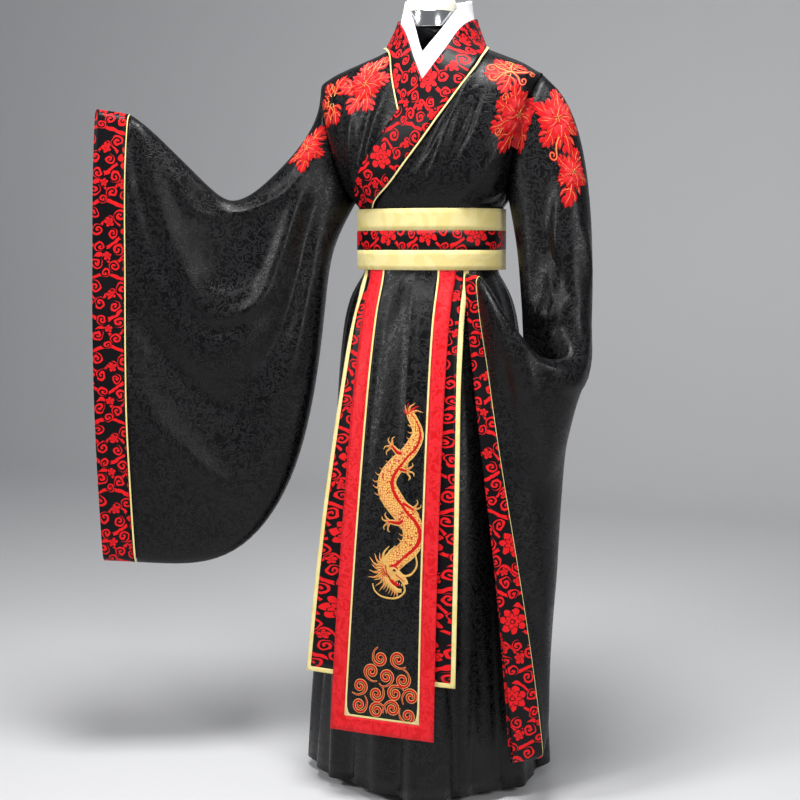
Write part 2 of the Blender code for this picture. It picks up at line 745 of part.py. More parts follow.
def build_form():
    """The dress form: a torso with no limbs, a chromed ring and a cap at the neck, pole, base."""
    shape = bmesh.new()
    segments = 20
    rings = []
    for z, half, depth, middle in FORM:
        ring = []
        for i in range(segments):
            angle = 2 * math.pi * i / segments
            x, y = half * math.sin(angle), middle - depth * math.cos(angle)
            ring.append(shape.verts.new((x, y, z)))
        rings.append(ring)
    for low, high in zip(rings[:-1], rings[1:]):
        for i in range(segments):
            k = (i + 1) % segments
            shape.faces.new((low[i], low[k], high[k], high[i]))
    shape.faces.new(list(reversed(rings[0])))
    shape.faces.new(rings[-1])
    bmesh.ops.triangulate(shape, faces=shape.faces[:])
    add_object("form_torso", shape, "form_cover")
    low, high, radius = NECK_RING
    ring = [(0, low), (radius - 0.002, low), (radius, low + 0.002), (radius, high - 0.002)]
    turned("form_neck_ring", ring + [(radius - 0.002, high), (0, high)], "chrome")
    foot = high + SEAM
    cap = [(0, foot), (radius - 0.004, foot)]
    for i in range(5):
        angle = math.pi / 2 * i / 5
        rise = (NECK_CAP_TOP - foot - 0.008) * math.sin(angle)
        cap.append(((radius - 0.002) * math.cos(angle) ** 0.6, foot + 0.008 + rise))
    turned("form_neck_cap", cap + [(0, NECK_CAP_TOP)], "ivory")
    pole_low, pole_high = BASE_HEIGHT + 0.012 + SEAM, FORM[0][0] - SEAM
    pole = [(0, pole_low), (POLE_RADIUS, pole_low), (POLE_RADIUS, pole_high), (0, pole_high)]
    turned("form_pole", pole, "chrome", 16)
    base = [(0, 0), (BASE_RADIUS, 0), (BASE_RADIUS, BASE_HEIGHT - 0.004)]
    base += [(BASE_RADIUS - 0.006, BASE_HEIGHT), (0.030, BASE_HEIGHT)]
    base += [(0.026, BASE_HEIGHT + 0.012), (0, BASE_HEIGHT + 0.012)]
    turned("form_base", base, "form_cover", 32)


def build_body():
    """The two fronts, the left one over the right, and the back."""
    rows = even(len(SKIRT_ROWS) + len(WAIST_ROWS) + len(BODICE_RISE) - 1)

    def over_height(u, v):
        settled = (1 - ease(u, 0.72, 0.98)) * (1 - ease(v, 0.82, 0.97))
        return UNDER_FRONT + (OVER_FRONT - UNDER_FRONT) * settled

    # The column next to each side seam is left out, because it would be a sliver at the shoulder.
    over = raised(front_left_surface, over_height)
    columns = even(int((90 - OVER_EDGE) / COLUMN_STEP))
    wall("front_left", over, columns[:-2] + columns[-1:], rows, CLOTH, "satin")
    under = raised(front_right_surface, UNDER_FRONT)
    columns = even(int((90 + UNDER_EDGE) / COLUMN_STEP))
    wall("front_right", under, columns[:1] + columns[2:], rows, CLOTH, "satin")
    back = raised(back_surface, UNDER_FRONT)
    wall("back", back, even(int(180 / COLUMN_STEP)), rows, CLOTH, "satin")


def build_collars():
    """The crossed outer collar with its piping, and the white collar inside it."""
    place = collar_surface(OVER_COLLAR_EDGES, UNDER_COLLAR_EDGES)
    band = raised(place, collar_height(OVER_COLLAR, UNDER_COLLAR, 0.32, 0.42, 0.0032))
    stations = [0.0, 0.03] + even(40, 0.045, UNDER_COLLAR_END)
    wall("collar", lambda u, v: band(u, 0.064 + 0.936 * v), stations, even(3), BAND, "brocade")
    wall("collar_piping", lambda u, v: band(u, 0.044 * v), stations, even(1), CLOTH, "cream")
    place = collar_surface(OVER_WHITE_EDGES, UNDER_WHITE_EDGES)
    white = raised(place, collar_height(WHITE_OVER, WHITE_UNDER, 0.3, 0.6))
    wall("inner_collar", white, even(30), even(3), CLOTH, "white")


def build_sleeve(side, surface):
    """One sleeve, the piping round it and the cuff band, all on the same surface."""
    turns = [0.0, 0.02, 0.04] + even(12, 0.06, 0.44) + [0.46, 0.48]
    turns = turns + [0.5 + turn for turn in turns] + [1.0]

    def part(low, high):
        return lambda u, v: surface(u, low + (high - low) * v)

    body = part(0.0, PIPING_PLACE - CUFF_SEAM)
    wall("sleeve_" + side, body, turns, even(12), CLOTH, "satin", closed=True)
    piping = part(PIPING_PLACE, CUFF_PLACE - CUFF_SEAM)
    wall("cuff_piping_" + side, piping, turns, even(1), CLOTH, "cream", closed=True)
    cuff = part(CUFF_PLACE, 1.0)
    wall("cuff_" + side, cuff, turns, even(2), CLOTH, "brocade", closed=True)


def waist_point(u, v):
    point = body_point(2 * math.pi * u, (BELT_Z[0] + BELT_Z[3]) / 2)
    return Vector((point.x, point.y, v))


def build_belt():
    """The belt in three strips, one over the other: cream, brocade and cream."""
    around = raised(waist_point, BELT_OUT)

    def strip(name, low, high, finish):
        def place(u, v):
            point = around(u, 0.5)
            return Vector((point.x, point.y, low + (high - low) * v))

        wall(name, place, even(40), even(1), BAND, finish, closed=True)

    strip("belt_lower", BELT_Z[0], BELT_Z[1] - SEAM, "cream")
    strip("belt_band", BELT_Z[1], BELT_Z[2] - SEAM, "brocade")
    strip("belt_upper", BELT_Z[2], BELT_Z[3], "cream")


def build_panels():
    """The wide panel with its binding, and the narrow one over it with border and piping."""
    place, rows = panel_surface(UNDER_PANEL, BINDING_WIDTH + SEAM)
    wall("under_panel", place, even(12), rows, CLOTH, "brocade")
    place, columns = panel_edge(UNDER_PANEL, 0.0, BINDING_WIDTH, 12)
    wall("under_panel_binding", place, columns, even(1), CLOTH, "cream")
    piping = BORDER_WIDTH + SEAM
    inner = piping + PIPING_WIDTH + SEAM
    place, rows = panel_surface(FRONT_PANEL, inner)
    wall("front_panel", place, even(8), rows, CLOTH, "satin")
    place, columns = panel_edge(FRONT_PANEL, 0.0, BORDER_WIDTH, 8)
    wall("front_panel_border", place, columns, even(1), CLOTH, "red_satin")
    place, columns = panel_edge(FRONT_PANEL, piping, piping + PIPING_WIDTH, 8)
    wall("front_panel_piping", place, columns, even(1), CLOTH, "cream")


def main():
    clear_scene()
    build_form()
    build_body()
    build_collars()
    build_sleeve("right", held_point)
    build_sleeve("left", hung_point)
    build_belt()
    build_panels()


main()
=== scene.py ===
# %% [markdown]
# # A wide-sleeved robe on its dress form
# The robe is black satin with a woven cloud ground, banded in red brocade and bound in cream
# satin. Its solids already have the true shape of every piece of cloth, so this script gives
# each one a smooth, finely creased copy, and then weaves, embroiders and stitches it.

# %% Load the frame
import math
import random

import bmesh
import bpy
import numpy as np
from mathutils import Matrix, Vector
from mathutils.bvhtree import BVHTree


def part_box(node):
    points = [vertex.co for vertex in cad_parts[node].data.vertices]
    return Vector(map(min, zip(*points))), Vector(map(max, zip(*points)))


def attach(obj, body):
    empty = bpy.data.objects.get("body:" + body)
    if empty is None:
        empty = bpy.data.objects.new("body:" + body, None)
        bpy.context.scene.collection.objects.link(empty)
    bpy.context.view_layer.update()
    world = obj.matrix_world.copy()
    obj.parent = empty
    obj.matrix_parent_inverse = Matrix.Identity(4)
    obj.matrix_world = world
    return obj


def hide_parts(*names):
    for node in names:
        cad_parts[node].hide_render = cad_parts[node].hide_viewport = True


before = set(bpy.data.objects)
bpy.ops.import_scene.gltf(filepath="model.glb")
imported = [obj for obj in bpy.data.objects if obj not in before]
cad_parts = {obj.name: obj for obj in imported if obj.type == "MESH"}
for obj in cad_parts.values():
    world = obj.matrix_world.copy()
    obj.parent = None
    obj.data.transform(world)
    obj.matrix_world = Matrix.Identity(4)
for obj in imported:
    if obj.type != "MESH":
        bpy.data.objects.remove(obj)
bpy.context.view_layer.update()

BODY = "root"
MM = 0.001
print("frame with", len(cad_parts), "nodes")

# %% [markdown]
# ## The camera
# The photograph was taken from the wearer's left with a longish lens, at chest height. A
# small sideways shift of the lens puts the robe where it stands in the picture. A sight line
# through a point of the picture later tells where a crease or a flower sits on the cloth.

# %% The camera
PICTURE = 800
SENSOR = 36.0
LENS = 63.0
CAMERA_TURN = math.radians(22)
CAMERA_DIP = math.radians(6.12)
CAMERA_DISTANCE = 2.9
CAMERA_HEIGHT = 1.09
SHIFT = -31 / PICTURE

camera_data = bpy.data.cameras.new("Camera")
camera_data.lens = LENS
camera_data.sensor_width = SENSOR
camera_data.shift_x = SHIFT
camera = bpy.data.objects.new("Camera", camera_data)
camera.location = (
    CAMERA_DISTANCE * math.sin(CAMERA_TURN),
    -CAMERA_DISTANCE * math.cos(CAMERA_TURN),
    CAMERA_HEIGHT,
)
camera.rotation_euler = (math.pi / 2 - CAMERA_DIP, 0, CAMERA_TURN)
bpy.context.scene.collection.objects.link(camera)
bpy.context.scene.camera = camera
print("camera at", [round(x, 3) for x in camera.location])


def sight_line(across, down, turned=False):
    """The line of sight through a point of the picture, or the same seen from behind."""
    focal = LENS / SENSOR * PICTURE
    right = across / focal - (0.5 - SHIFT) * PICTURE / focal
    ray = Vector((right, 0.5 * PICTURE / focal - down / focal, -1))
    ray.rotate(camera.rotation_euler)
    start = camera.location.copy()
    if turned:
        start.x, start.y = -start.x, -start.y
        ray.x, ray.y = -ray.x, -ray.y
    return start, ray.normalized()


# %% [markdown]
# ## The studio
# A pale floor that curves up behind the form, one soft light overhead, which draws the bright
# shoulders and fold tops of the photograph, and two weaker ones from the front.

# %% The studio
FLOOR_HALF = 8.0
FLOOR_FRONT = -10.0
FLOOR_BACK = 3.0
FLOOR_CURVE = 1.2
CURVE_STEPS = 12
BACKDROP_TOP = 4.5
# place, aim, size and power
LIGHTS = {
    "Overhead": ((0.15, -0.65, 3.0), (0, 0, 1.1), 0.8, 70),
    "Front left": ((-1.9, -2.6, 2.3), (-0.1, 0, 0.9), 0.7, 44),
    "Front right": ((2.5, -2.0, 1.7), (0.1, 0, 0.9), 0.6, 34),
}
SKY = (0.80, 0.82, 0.86, 1)
SKY_STRENGTH = 0.24


def make_stage():
    """A floor with a rounded rise behind it, swept along X from one profile."""
    form = bmesh.new()
    profile = [form.verts.new((-FLOOR_HALF, y, 0)) for y in (FLOOR_FRONT, FLOOR_BACK)]
    for step in range(1, CURVE_STEPS + 1):
        angle = step / CURVE_STEPS * math.pi / 2
        y = FLOOR_BACK + FLOOR_CURVE * math.sin(angle)
        z = FLOOR_CURVE * (1 - math.cos(angle))
        profile.append(form.verts.new((-FLOOR_HALF, y, z)))
    profile.append(form.verts.new((-FLOOR_HALF, FLOOR_BACK + FLOOR_CURVE, BACKDROP_TOP)))
    edges = [form.edges.new(pair) for pair in zip(profile, profile[1:])]
    moved = bmesh.ops.extrude_edge_only(form, edges=edges)["geom"]
    far = [part for part in moved if isinstance(part, bmesh.types.BMVert)]
    bmesh.ops.translate(form, verts=far, vec=(2 * FLOOR_HALF, 0, 0))
    bmesh.ops.recalc_face_normals(form, faces=form.faces)
    mesh = bpy.data.meshes.new("floor")
    form.to_mesh(mesh)
    form.free()
    mesh.shade_smooth()
    floor = bpy.data.objects.new("floor", mesh)
    bpy.context.scene.collection.objects.link(floor)
    return floor


def soft_light(name, place, aim, size, power):
    """A square area light that looks from its place to its aim."""
    data = bpy.data.lights.new(name, "AREA")
    data.shape = "SQUARE"
    data.size = size
    data.energy = power
    light = bpy.data.objects.new(name, data)
    light.location = place
    light.rotation_euler = (Vector(aim) - Vector(place)).to_track_quat("-Z", "Y").to_euler()
    bpy.context.scene.collection.objects.link(light)


floor = make_stage()
for name, row in LIGHTS.items():
    soft_light(name, *row)
world = bpy.data.worlds.new("Studio")
world.use_nodes = True
world.node_tree.nodes["Background"].inputs["Color"].default_value = SKY
world.node_tree.nodes["Background"].inputs["Strength"].default_value = SKY_STRENGTH
bpy.context.scene.world = world
bpy.context.scene.view_settings.view_transform = "Standard"
print(len(LIGHTS), "lights and a floor")

# %% [markdown]
# ## Sums on shader sockets
# A weave is a sum over distances and angles. This class carries one output socket of a node,
# and each sum written on it adds the Math node that works it out.

# %% Shader sums


class Thread:
    """One output of a material's nodes, which takes part in sums."""

    def __init__(self, tree, socket=None):
        self.tree = tree
        self.socket = socket

    def node(self, kind, settings, inputs, output=0):
        """A new node: settings first, then each input's value or the socket that feeds it."""
        made = self.tree.nodes.new(kind)
        for name, value in settings.items():
            if name == "stops":
                while len(made.color_ramp.elements) < len(value):
                    made.color_ramp.elements.new(0.5)
                for stop, (place, colour) in zip(made.color_ramp.elements, value):
                    stop.position = place
                    stop.color = (*colour, 1)
            else:
                setattr(made, name, value)
        for key, value in inputs.items():
            if isinstance(value, Thread):
                self.tree.links.new(value.socket, made.inputs[key])
            else:
                made.inputs[key].default_value = value
        return Thread(self.tree, made.outputs[output])

    def math(self, operation, *values):
        return self.node("ShaderNodeMath", {"operation": operation}, dict(enumerate(values)))

    def __add__(self, other):
        return self.math("ADD", self, other)

    def __sub__(self, other):
        return self.math("SUBTRACT", self, other)

    def __rsub__(self, other):
        return self.math("SUBTRACT", other, self)

    def __mul__(self, other):
        return self.math("MULTIPLY", self, other)

    __radd__ = __add__
    __rmul__ = __mul__

    def __abs__(self):
        return self.math("ABSOLUTE", self)

    def __lt__(self, other):
        return self.math("LESS_THAN", self, other)

    def either(self, other):
        return self.math("MAXIMUM", self, other)

    def blend(self, colour_0, colour_1):
        """The first colour where this is 0 and the second where it is 1."""
        settings = {"data_type": "RGBA"}
        return self.node("ShaderNodeMix", settings, {0: self, 6: colour_0, 7: colour_1}, output=2)


print("sums on sockets ready")

# %% [markdown]
# ## How every finish starts
# A finish starts with one Principled shader. What is the same all over is set on the shader's
# own sockets, and only what varies is fed by a sum. Heights of a weave become a normal through
# a Bump node, so the cloth catches the light without more faces.

# %% A new finish
SHEEN_ROUGHNESS = 0.4
USUAL_SPECULAR = 0.5


def new_material(name, roughness, metallic=0.0, sheen=0.0, specular=USUAL_SPECULAR):
    """A material with one Principled shader, and the thread that its sums start from."""
    material = bpy.data.materials.new(name)
    material.use_nodes = True
    shader = material.node_tree.nodes["Principled BSDF"]
    shader.inputs["Roughness"].default_value = roughness
    shader.inputs["Metallic"].default_value = metallic
    shader.inputs["Sheen Weight"].default_value = sheen
    shader.inputs["Sheen Roughness"].default_value = SHEEN_ROUGHNESS
    shader.inputs["Specular IOR Level"].default_value = specular
    return material, shader, Thread(material.node_tree)


def feed(shader, key, thread):
    """Links a thread to one of the shader's inputs."""
    thread.tree.links.new(thread.socket, shader.inputs[key])


def raise_threads(shader, thread, height, depth, strength=0.6):
    """Turns a height into the shader's normal."""
    bump = thread.node("ShaderNodeBump", {}, {"Strength": strength, "Distance": depth, "Height": height})
    feed(shader, "Normal", bump)


def rgb(red, green, blue):
    return (red, green, blue, 1)


# %% [markdown]
# ## Black satin with a woven cloud ground
# The ground is nearly black. Its jacquard shows only where light strikes it: small curling
# clouds that are matter than the satin between them. Winding lines come from the middle
# values of a distorted noise, which has the same scale on every face of the cloth.

# %% Black satin
CLOUD_SCALE = 62
CLOUD_LINE = 0.040
GROUND_BLACK = rgb(0.0016, 0.0016, 0.0020)
CLOUD_GREY = rgb(0.0060, 0.0060, 0.0070)
WEAR_SCALE = 7.0
CRUMPLE_SCALE = 34.0
RIB_SCALE = 450


def place_on_object(start):
    """The point on the object, in metres."""
    return start.node("ShaderNodeTexCoord", {}, {}, output=3)


def cloth_map(start):
    """The two distances along the cloth, in metres, from the piece's own map."""
    return start.node("ShaderNodeUVMap", {"uv_map": "cloth"}, {})


def ribs_of(start, place, scale, distortion, direction="DIAGONAL", detail=1.0):
    """Fine ribs across the cloth, as its threads or a satin's floats give."""
    inputs = {"Vector": place, "Scale": scale, "Distortion": distortion, "Detail": detail}
    return start.node("ShaderNodeTexWave", {"bands_direction": direction}, inputs, output=1)


def noise_of(start, place, scale, detail, output=0):
    """An uneven value, or with output 1 an uneven colour."""
    return start.node("ShaderNodeTexNoise", {}, {"Vector": place, "Scale": scale, "Detail": detail}, output)


def winding_lines(start, place, scale, width):
    """1 along curling lines of a noise, and 0 between them."""
    inputs = {"Vector": place, "Scale": scale, "Detail": 1.5, "Roughness": 0.5, "Distortion": 1.6}
    noise = start.node("ShaderNodeTexNoise", {}, inputs)
    near = abs(noise - 0.5)
    settings = {"interpolation_type": "SMOOTHSTEP"}
    inputs = {"Value": near, "From Min": width, "From Max": width * 1.7, "To Min": 1.0, "To Max": 0.0}
    return start.node("ShaderNodeMapRange", settings, inputs)


def make_black_satin(name):
    material, shader, start = new_material(name, 0.36, specular=0.26)
    place = place_on_object(start)
    clouds = winding_lines(start, place, CLOUD_SCALE, CLOUD_LINE)
    feed(shader, "Base Color", clouds.blend(GROUND_BLACK, CLOUD_GREY))
    wear = noise_of(start, place, WEAR_SCALE, 3.0)
    feed(shader, "Roughness", 0.24 + clouds * 0.16 + wear * 0.06)
    ribs = ribs_of(start, place, RIB_SCALE, 1.2)
    crumple = noise_of(start, place, CRUMPLE_SCALE, 3.0)
    raise_threads(shader, start, clouds * 0.25 + ribs * 0.08 + crumple * 1.3, 0.0012)
    return material


black_satin = make_black_satin("black satin")
print("woven", black_satin.name)

# %% [markdown]
# ## Red brocade
# Cuffs, collar, belt band and under panel share one brocade: scrolling vines that end in
# curls, small flowers between them and a large peony, red on black, repeated across the
# cloth. Each motif is drawn round its own centre in a tile that wraps at its edges, so that a
# curl may cross from one repeat to the next.

# %% Brocade motifs
TILE = (0.125, 0.170)
BROCADE_SCALE = 1.14
TREMBLE_SCALE = 60.0
TREMBLE = 0.011
VINE = 0.0042
CURL_TURNS = 1.45
CURL_LINE = 0.26
BROCADE_RED = rgb(0.86, 0.010, 0.016)
BROCADE_DEEP = rgb(0.66, 0.005, 0.008)
BROCADE_BLACK = rgb(0.004, 0.0035, 0.0045)

# centre across and up in metres, reach, turns to the left (1) or right (-1), first angle
CURLS = (
    (0.014, 0.020, 0.0130, 1, 0.0),
    (0.044, 0.012, 0.0120, -1, 1.9),
    (0.098, 0.028, 0.0140, 1, 3.4),
    (0.070, 0.044, 0.0125, -1, 0.7),
    (0.022, 0.058, 0.0140, -1, 4.2),
    (0.108, 0.066, 0.0120, 1, 5.3),
    (0.012, 0.096, 0.0125, 1, 2.6),
    (0.104, 0.104, 0.0140, -1, 1.2),
    (0.030, 0.138, 0.0140, 1, 0.4),
    (0.060, 0.158, 0.0120, -1, 3.0),
    (0.094, 0.144, 0.0135, 1, 2.1),
    (0.118, 0.006, 0.0105, -1, 4.6),
)
# centre across and up, reach, petals, first angle
FLOWERS = (
    (0.060, 0.098, 0.0300, 7, 0.3),
    (0.074, 0.016, 0.0125, 5, 0.0),
    (0.040, 0.036, 0.0100, 5, 0.6),
    (0.004, 0.124, 0.0115, 5, 0.2),
    (0.122, 0.044, 0.0100, 5, 0.9),
)
# height of a vine in the tile, swing, waves in a tile, first angle
VINES = ((0.036, 0.012, 2, 0.4), (0.078, 0.014, 1, 2.2), (0.122, 0.012, 2, 4.0), (0.163, 0.009, 1, 5.0))


print(len(CURLS), "curls,", len(FLOWERS), "flowers and", len(VINES), "vines in a tile")

# %% [markdown]
# ## Drawing a motif with sums
# A motif is a mask: 1 where its thread lies and 0 beside it. The distance and the angle from
# its centre are all that a curl or a flower needs. A curl compares its distance with a value
# that grows with the angle, and a flower's edge swings in and out once for each petal.

# %% Curl, flower and vine


def around(start, place, centre):
    """Distance from the motif's centre and the angle round it, in the repeating tile."""
    moved = start.node("ShaderNodeVectorMath", {"operation": "SUBTRACT"}, {0: place, 1: (*centre, 0)})
    half = (TILE[0] / 2, TILE[1] / 2, 1)
    low = tuple(-x for x in half)
    wrapped = start.node("ShaderNodeVectorMath", {"operation": "WRAP"}, {0: moved, 1: half, 2: low})
    length = start.node("ShaderNodeVectorMath", {"operation": "LENGTH"}, {0: wrapped}, output=1)
    across = start.node("ShaderNodeSeparateXYZ", {}, {0: wrapped})
    up = Thread(start.tree, across.socket.node.outputs[1])
    return length, start.math("ARCTAN2", up, across)


def curl(start, place, across, up, reach, way, first):
    """A spiral line that runs out from its centre to its reach."""
    length, angle = around(start, place, (across, up))
    pitch = reach / CURL_TURNS
    turned = length * (1 / pitch) + (angle + first) * (-way / math.tau)
    line = turned.math("PINGPONG", turned, 0.5) < CURL_LINE
    return line * (length < reach)


def brocade_flower(start, place, across, up, reach, petals, first):
    """Two rings of petals with a dark line between them, round a ringed centre."""
    length, angle = around(start, place, (across, up))
    outer = abs(start.math("SINE", angle * (petals / 2) + first))
    inner = abs(start.math("COSINE", angle * (petals / 2) + first))
    edge = 0.62 * reach + outer * (0.38 * reach)
    fold = 0.34 * reach + inner * (0.28 * reach)
    parting = abs(length - fold) < 0.045 * reach
    heart = abs(length - 0.17 * reach) < 0.035 * reach
    body = length < edge
    return body * (1 - parting) * (1 - heart)


def vine(start, place, height, swing, waves, first):
    """A wavy stem that runs across the whole tile."""
    across = start.node("ShaderNodeSeparateXYZ", {}, {0: place})
    up = Thread(start.tree, across.socket.node.outputs[1])
    wave = start.math("SINE", across * (math.tau * waves / TILE[0]) + first)
    rise = up - height + wave * swing
    return abs(start.math("WRAP", rise, TILE[1] / 2, -TILE[1] / 2)) < VINE


print("motifs ready")

# %% [markdown]
# ## The brocade itself
# Vines are laid first, then curls and flowers, each of which clears a round space for itself.
# A little tremble in the map keeps the lines from looking printed, and the red is raised
# slightly over the black as real floats are.

# %% Red brocade


def make_brocade(name):
    material, shader, start = new_material(name, 0.40, specular=0.18)
    flat = cloth_map(start)
    tremble = noise_of(start, flat, TREMBLE_SCALE, 1.0, output=1)
    smaller = start.node("ShaderNodeVectorMath", {"operation": "SCALE"}, {0: flat, 3: BROCADE_SCALE})
    shake = start.node("ShaderNodeVectorMath", {"operation": "MULTIPLY_ADD"},
                       {0: tremble, 1: (TREMBLE, TREMBLE, 0), 2: smaller})
    mask = vine(start, shake, *VINES[0])
    for row in VINES[1:]:
        mask = mask.either(vine(start, shake, *row))
    for draw, rows, clear in ((curl, CURLS, 1.12), (brocade_flower, FLOWERS, 1.10)):
        for row in rows:
            length, _ = around(start, shake, row[:2])
            mask = (mask * (1 - (length < row[2] * clear))).either(draw(start, shake, *row))
    shade = noise_of(start, flat, 160.0, 2.0)
    red = shade.blend(BROCADE_DEEP, BROCADE_RED)
    feed(shader, "Base Color", mask.blend(BROCADE_BLACK, red))
    feed(shader, "Roughness", 0.34 + mask * 0.20)
    ribs = ribs_of(start, flat, 260.0, 0.6, "X", detail=2.0)
    raise_threads(shader, start, mask + ribs * 0.18, 0.0006)
    return material


red_brocade = make_brocade("red brocade")
print("woven", red_brocade.name, "with", len(CURLS), "curls and", len(FLOWERS), "flowers")

# %% [markdown]
# ## Plain satins, cotton and the form's covers
# The border satin is red with a paler woven cloud; the bindings are cream satin with fine
# ribs; the inner collar is a plain white cotton weave, and the form wears black jersey. All
# four are one recipe with other numbers.

# %% Satins and cotton
# deeper and paler colour, roughness, scale of clouds and of ribs, relief of the clouds, sheen
PLAIN_CLOTHS = {
    "red satin": (rgb(0.60, 0.003, 0.006), rgb(0.80, 0.018, 0.028), 0.38, 42, 300, 0.8, 0.05),
    "cream satin": (rgb(0.80, 0.66, 0.24), rgb(0.88, 0.76, 0.36), 0.42, 9, 420, 0.1, 0.2),
    "white cotton": (rgb(0.84, 0.84, 0.88), rgb(0.90, 0.90, 0.93), 0.75, 12, 700, 0.1, 0.2),
    "form cover": (rgb(0.006, 0.006, 0.008), rgb(0.012, 0.012, 0.014), 0.8, 30, 800, 0.2, 0.3),
}


def make_plain_cloth(name, deeper, paler, roughness, cloud_scale, rib_scale, relief, sheen):
    """A cloth of two near colours in woven clouds, with fine ribs."""
    material, shader, start = new_material(name, roughness, sheen=sheen, specular=0.2)
    place = place_on_object(start)
    clouds = winding_lines(start, place, cloud_scale, 0.055)
    patches = noise_of(start, place, cloud_scale * 0.7, 2.0)
    feed(shader, "Base Color", (clouds * 0.55 + patches * 0.45).blend(deeper, paler))
    feed(shader, "Roughness", roughness - 0.05 + clouds * 0.12)
    ribs = ribs_of(start, place, rib_scale, 0.8)
    raise_threads(shader, start, clouds * relief + ribs * 0.25 + patches * 0.5, 0.0006)
    return material


plain_cloths = [make_plain_cloth(name, *row) for name, row in PLAIN_CLOTHS.items()]
red_satin, cream_satin, white_cotton, form_cover = plain_cloths
print(len(plain_cloths), "plain cloths")


# %% [markdown]
# ## Metal, paint and the floor
# The form's ring and post are polished chrome, its cap is turned ivory plastic and its foot is
# lacquered. One faint noise in gloss and height is enough to take off the flat look.

# %% Hard finishes
# colour, roughness, metallic and the height of its scratches
HARD_FINISHES = {
    "chrome": (rgb(0.78, 0.79, 0.80), 0.13, 1.0, 0.0002),
    "ivory cap": (rgb(0.80, 0.78, 0.66), 0.45, 0.0, 0.0003),
    "base paint": (rgb(0.012, 0.012, 0.013), 0.35, 0.0, 0.0003),
    "pale floor": (rgb(0.74, 0.74, 0.75), 0.6, 0.0, 0.0002),
}


def make_hard_finish(name, colour, roughness, metallic, scratch):
    """A metal, lacquer or turned cap, with faint uneven polish."""
    material, shader, start = new_material(name, roughness, metallic)
    smear = noise_of(start, place_on_object(start), 45.0, 4.0)
    shader.inputs["Base Color"].default_value = colour
    feed(shader, "Roughness", roughness * 0.8 + smear * (roughness * 0.5))
    raise_threads(shader, start, smear, scratch, 0.2)
    return material


hard_finishes = [make_hard_finish(name, *row) for name, row in HARD_FINISHES.items()]
chrome, ivory_cap, base_paint, pale_floor = hard_finishes
floor.data.materials.append(pale_floor)
print(len(hard_finishes), "hard finishes")

# %% [markdown]
# ## Embroidery threads
# Each shape of the embroidery is laid in satin stitch: threads that lie side by side across
# the shape. The shape's own map runs along it, so fine ribs across that map are its threads.

# %% Threads


def make_thread(name, light, dark):
    """Silk in two near tones, with a rib for each stitch."""
    material, shader, start = new_material(name, 0.42, specular=0.2)
    flat = cloth_map(start)
    ribs = ribs_of(start, flat, 330.0, 1.5, "X")
    tone = noise_of(start, flat, 120.0, 1.0)
    feed(shader, "Base Color", (tone * 0.7 + ribs * 0.3).blend(dark, light))
    raise_threads(shader, start, ribs, 0.0004, 0.7)
    return material


def make_scales(name):
    """Gold scales with red between them, as rows of rings along the body."""
    material, shader, start = new_material(name, 0.38, sheen=0.2)
    flat = cloth_map(start)
    cells = start.node("ShaderNodeTexVoronoi", {"feature": "DISTANCE_TO_EDGE"},
                       {"Vector": flat, "Scale": 210.0, "Randomness": 0.55})
    gaps = cells < 0.085
    feed(shader, "Base Color", gaps.blend(rgb(0.86, 0.52, 0.12), rgb(0.50, 0.03, 0.01)))
    raise_threads(shader, start, cells, 0.0006, 0.8)
    return material


THREADS = [
    make_thread("red thread", rgb(0.74, 0.006, 0.010), rgb(0.50, 0.003, 0.006)),
    make_thread("deep red thread", rgb(0.46, 0.006, 0.010), rgb(0.24, 0.003, 0.005)),
    make_thread("cream thread", rgb(0.90, 0.62, 0.22), rgb(0.80, 0.36, 0.08)),
    make_thread("gold thread", rgb(0.92, 0.66, 0.20), rgb(0.72, 0.30, 0.06)),
    make_scales("gold scales"),
    make_thread("rose thread", rgb(0.84, 0.045, 0.055), rgb(0.68, 0.010, 0.015)),
    make_thread("dark thread", rgb(0.02, 0.015, 0.012), rgb(0.008, 0.006, 0.005)),
]
RED, DEEP, CREAM, GOLD, SCALES, ROSE, DARK = range(7)
print(len(THREADS), "threads")

# %% [markdown]
# ## From a solid to cloth
# A piece of cloth starts as a merged copy of its solid. Pairs of triangles become the four
# sided patches that a subdivision surface likes, and the thin rim keeps its edge by a crease.
# The subdivided copy is then fine enough to take the small creases.

# %% Smooth copies
MERGE = 0.00002
JOIN_FACE_ANGLE = math.radians(35)
JOIN_SHAPE_ANGLE = math.radians(70)
WALL_MOST = 0.0038
RIM_ANGLE = math.radians(50)
CLOTH_LEVELS = 2
FORM_LEVELS = 1


def linked(name, form):
    """An object made of a bmesh, which is freed."""
    mesh = bpy.data.meshes.new(name)
    form.to_mesh(mesh)
    form.free()
    piece = bpy.data.objects.new(name, mesh)
    bpy.context.scene.collection.objects.link(piece)
    return piece


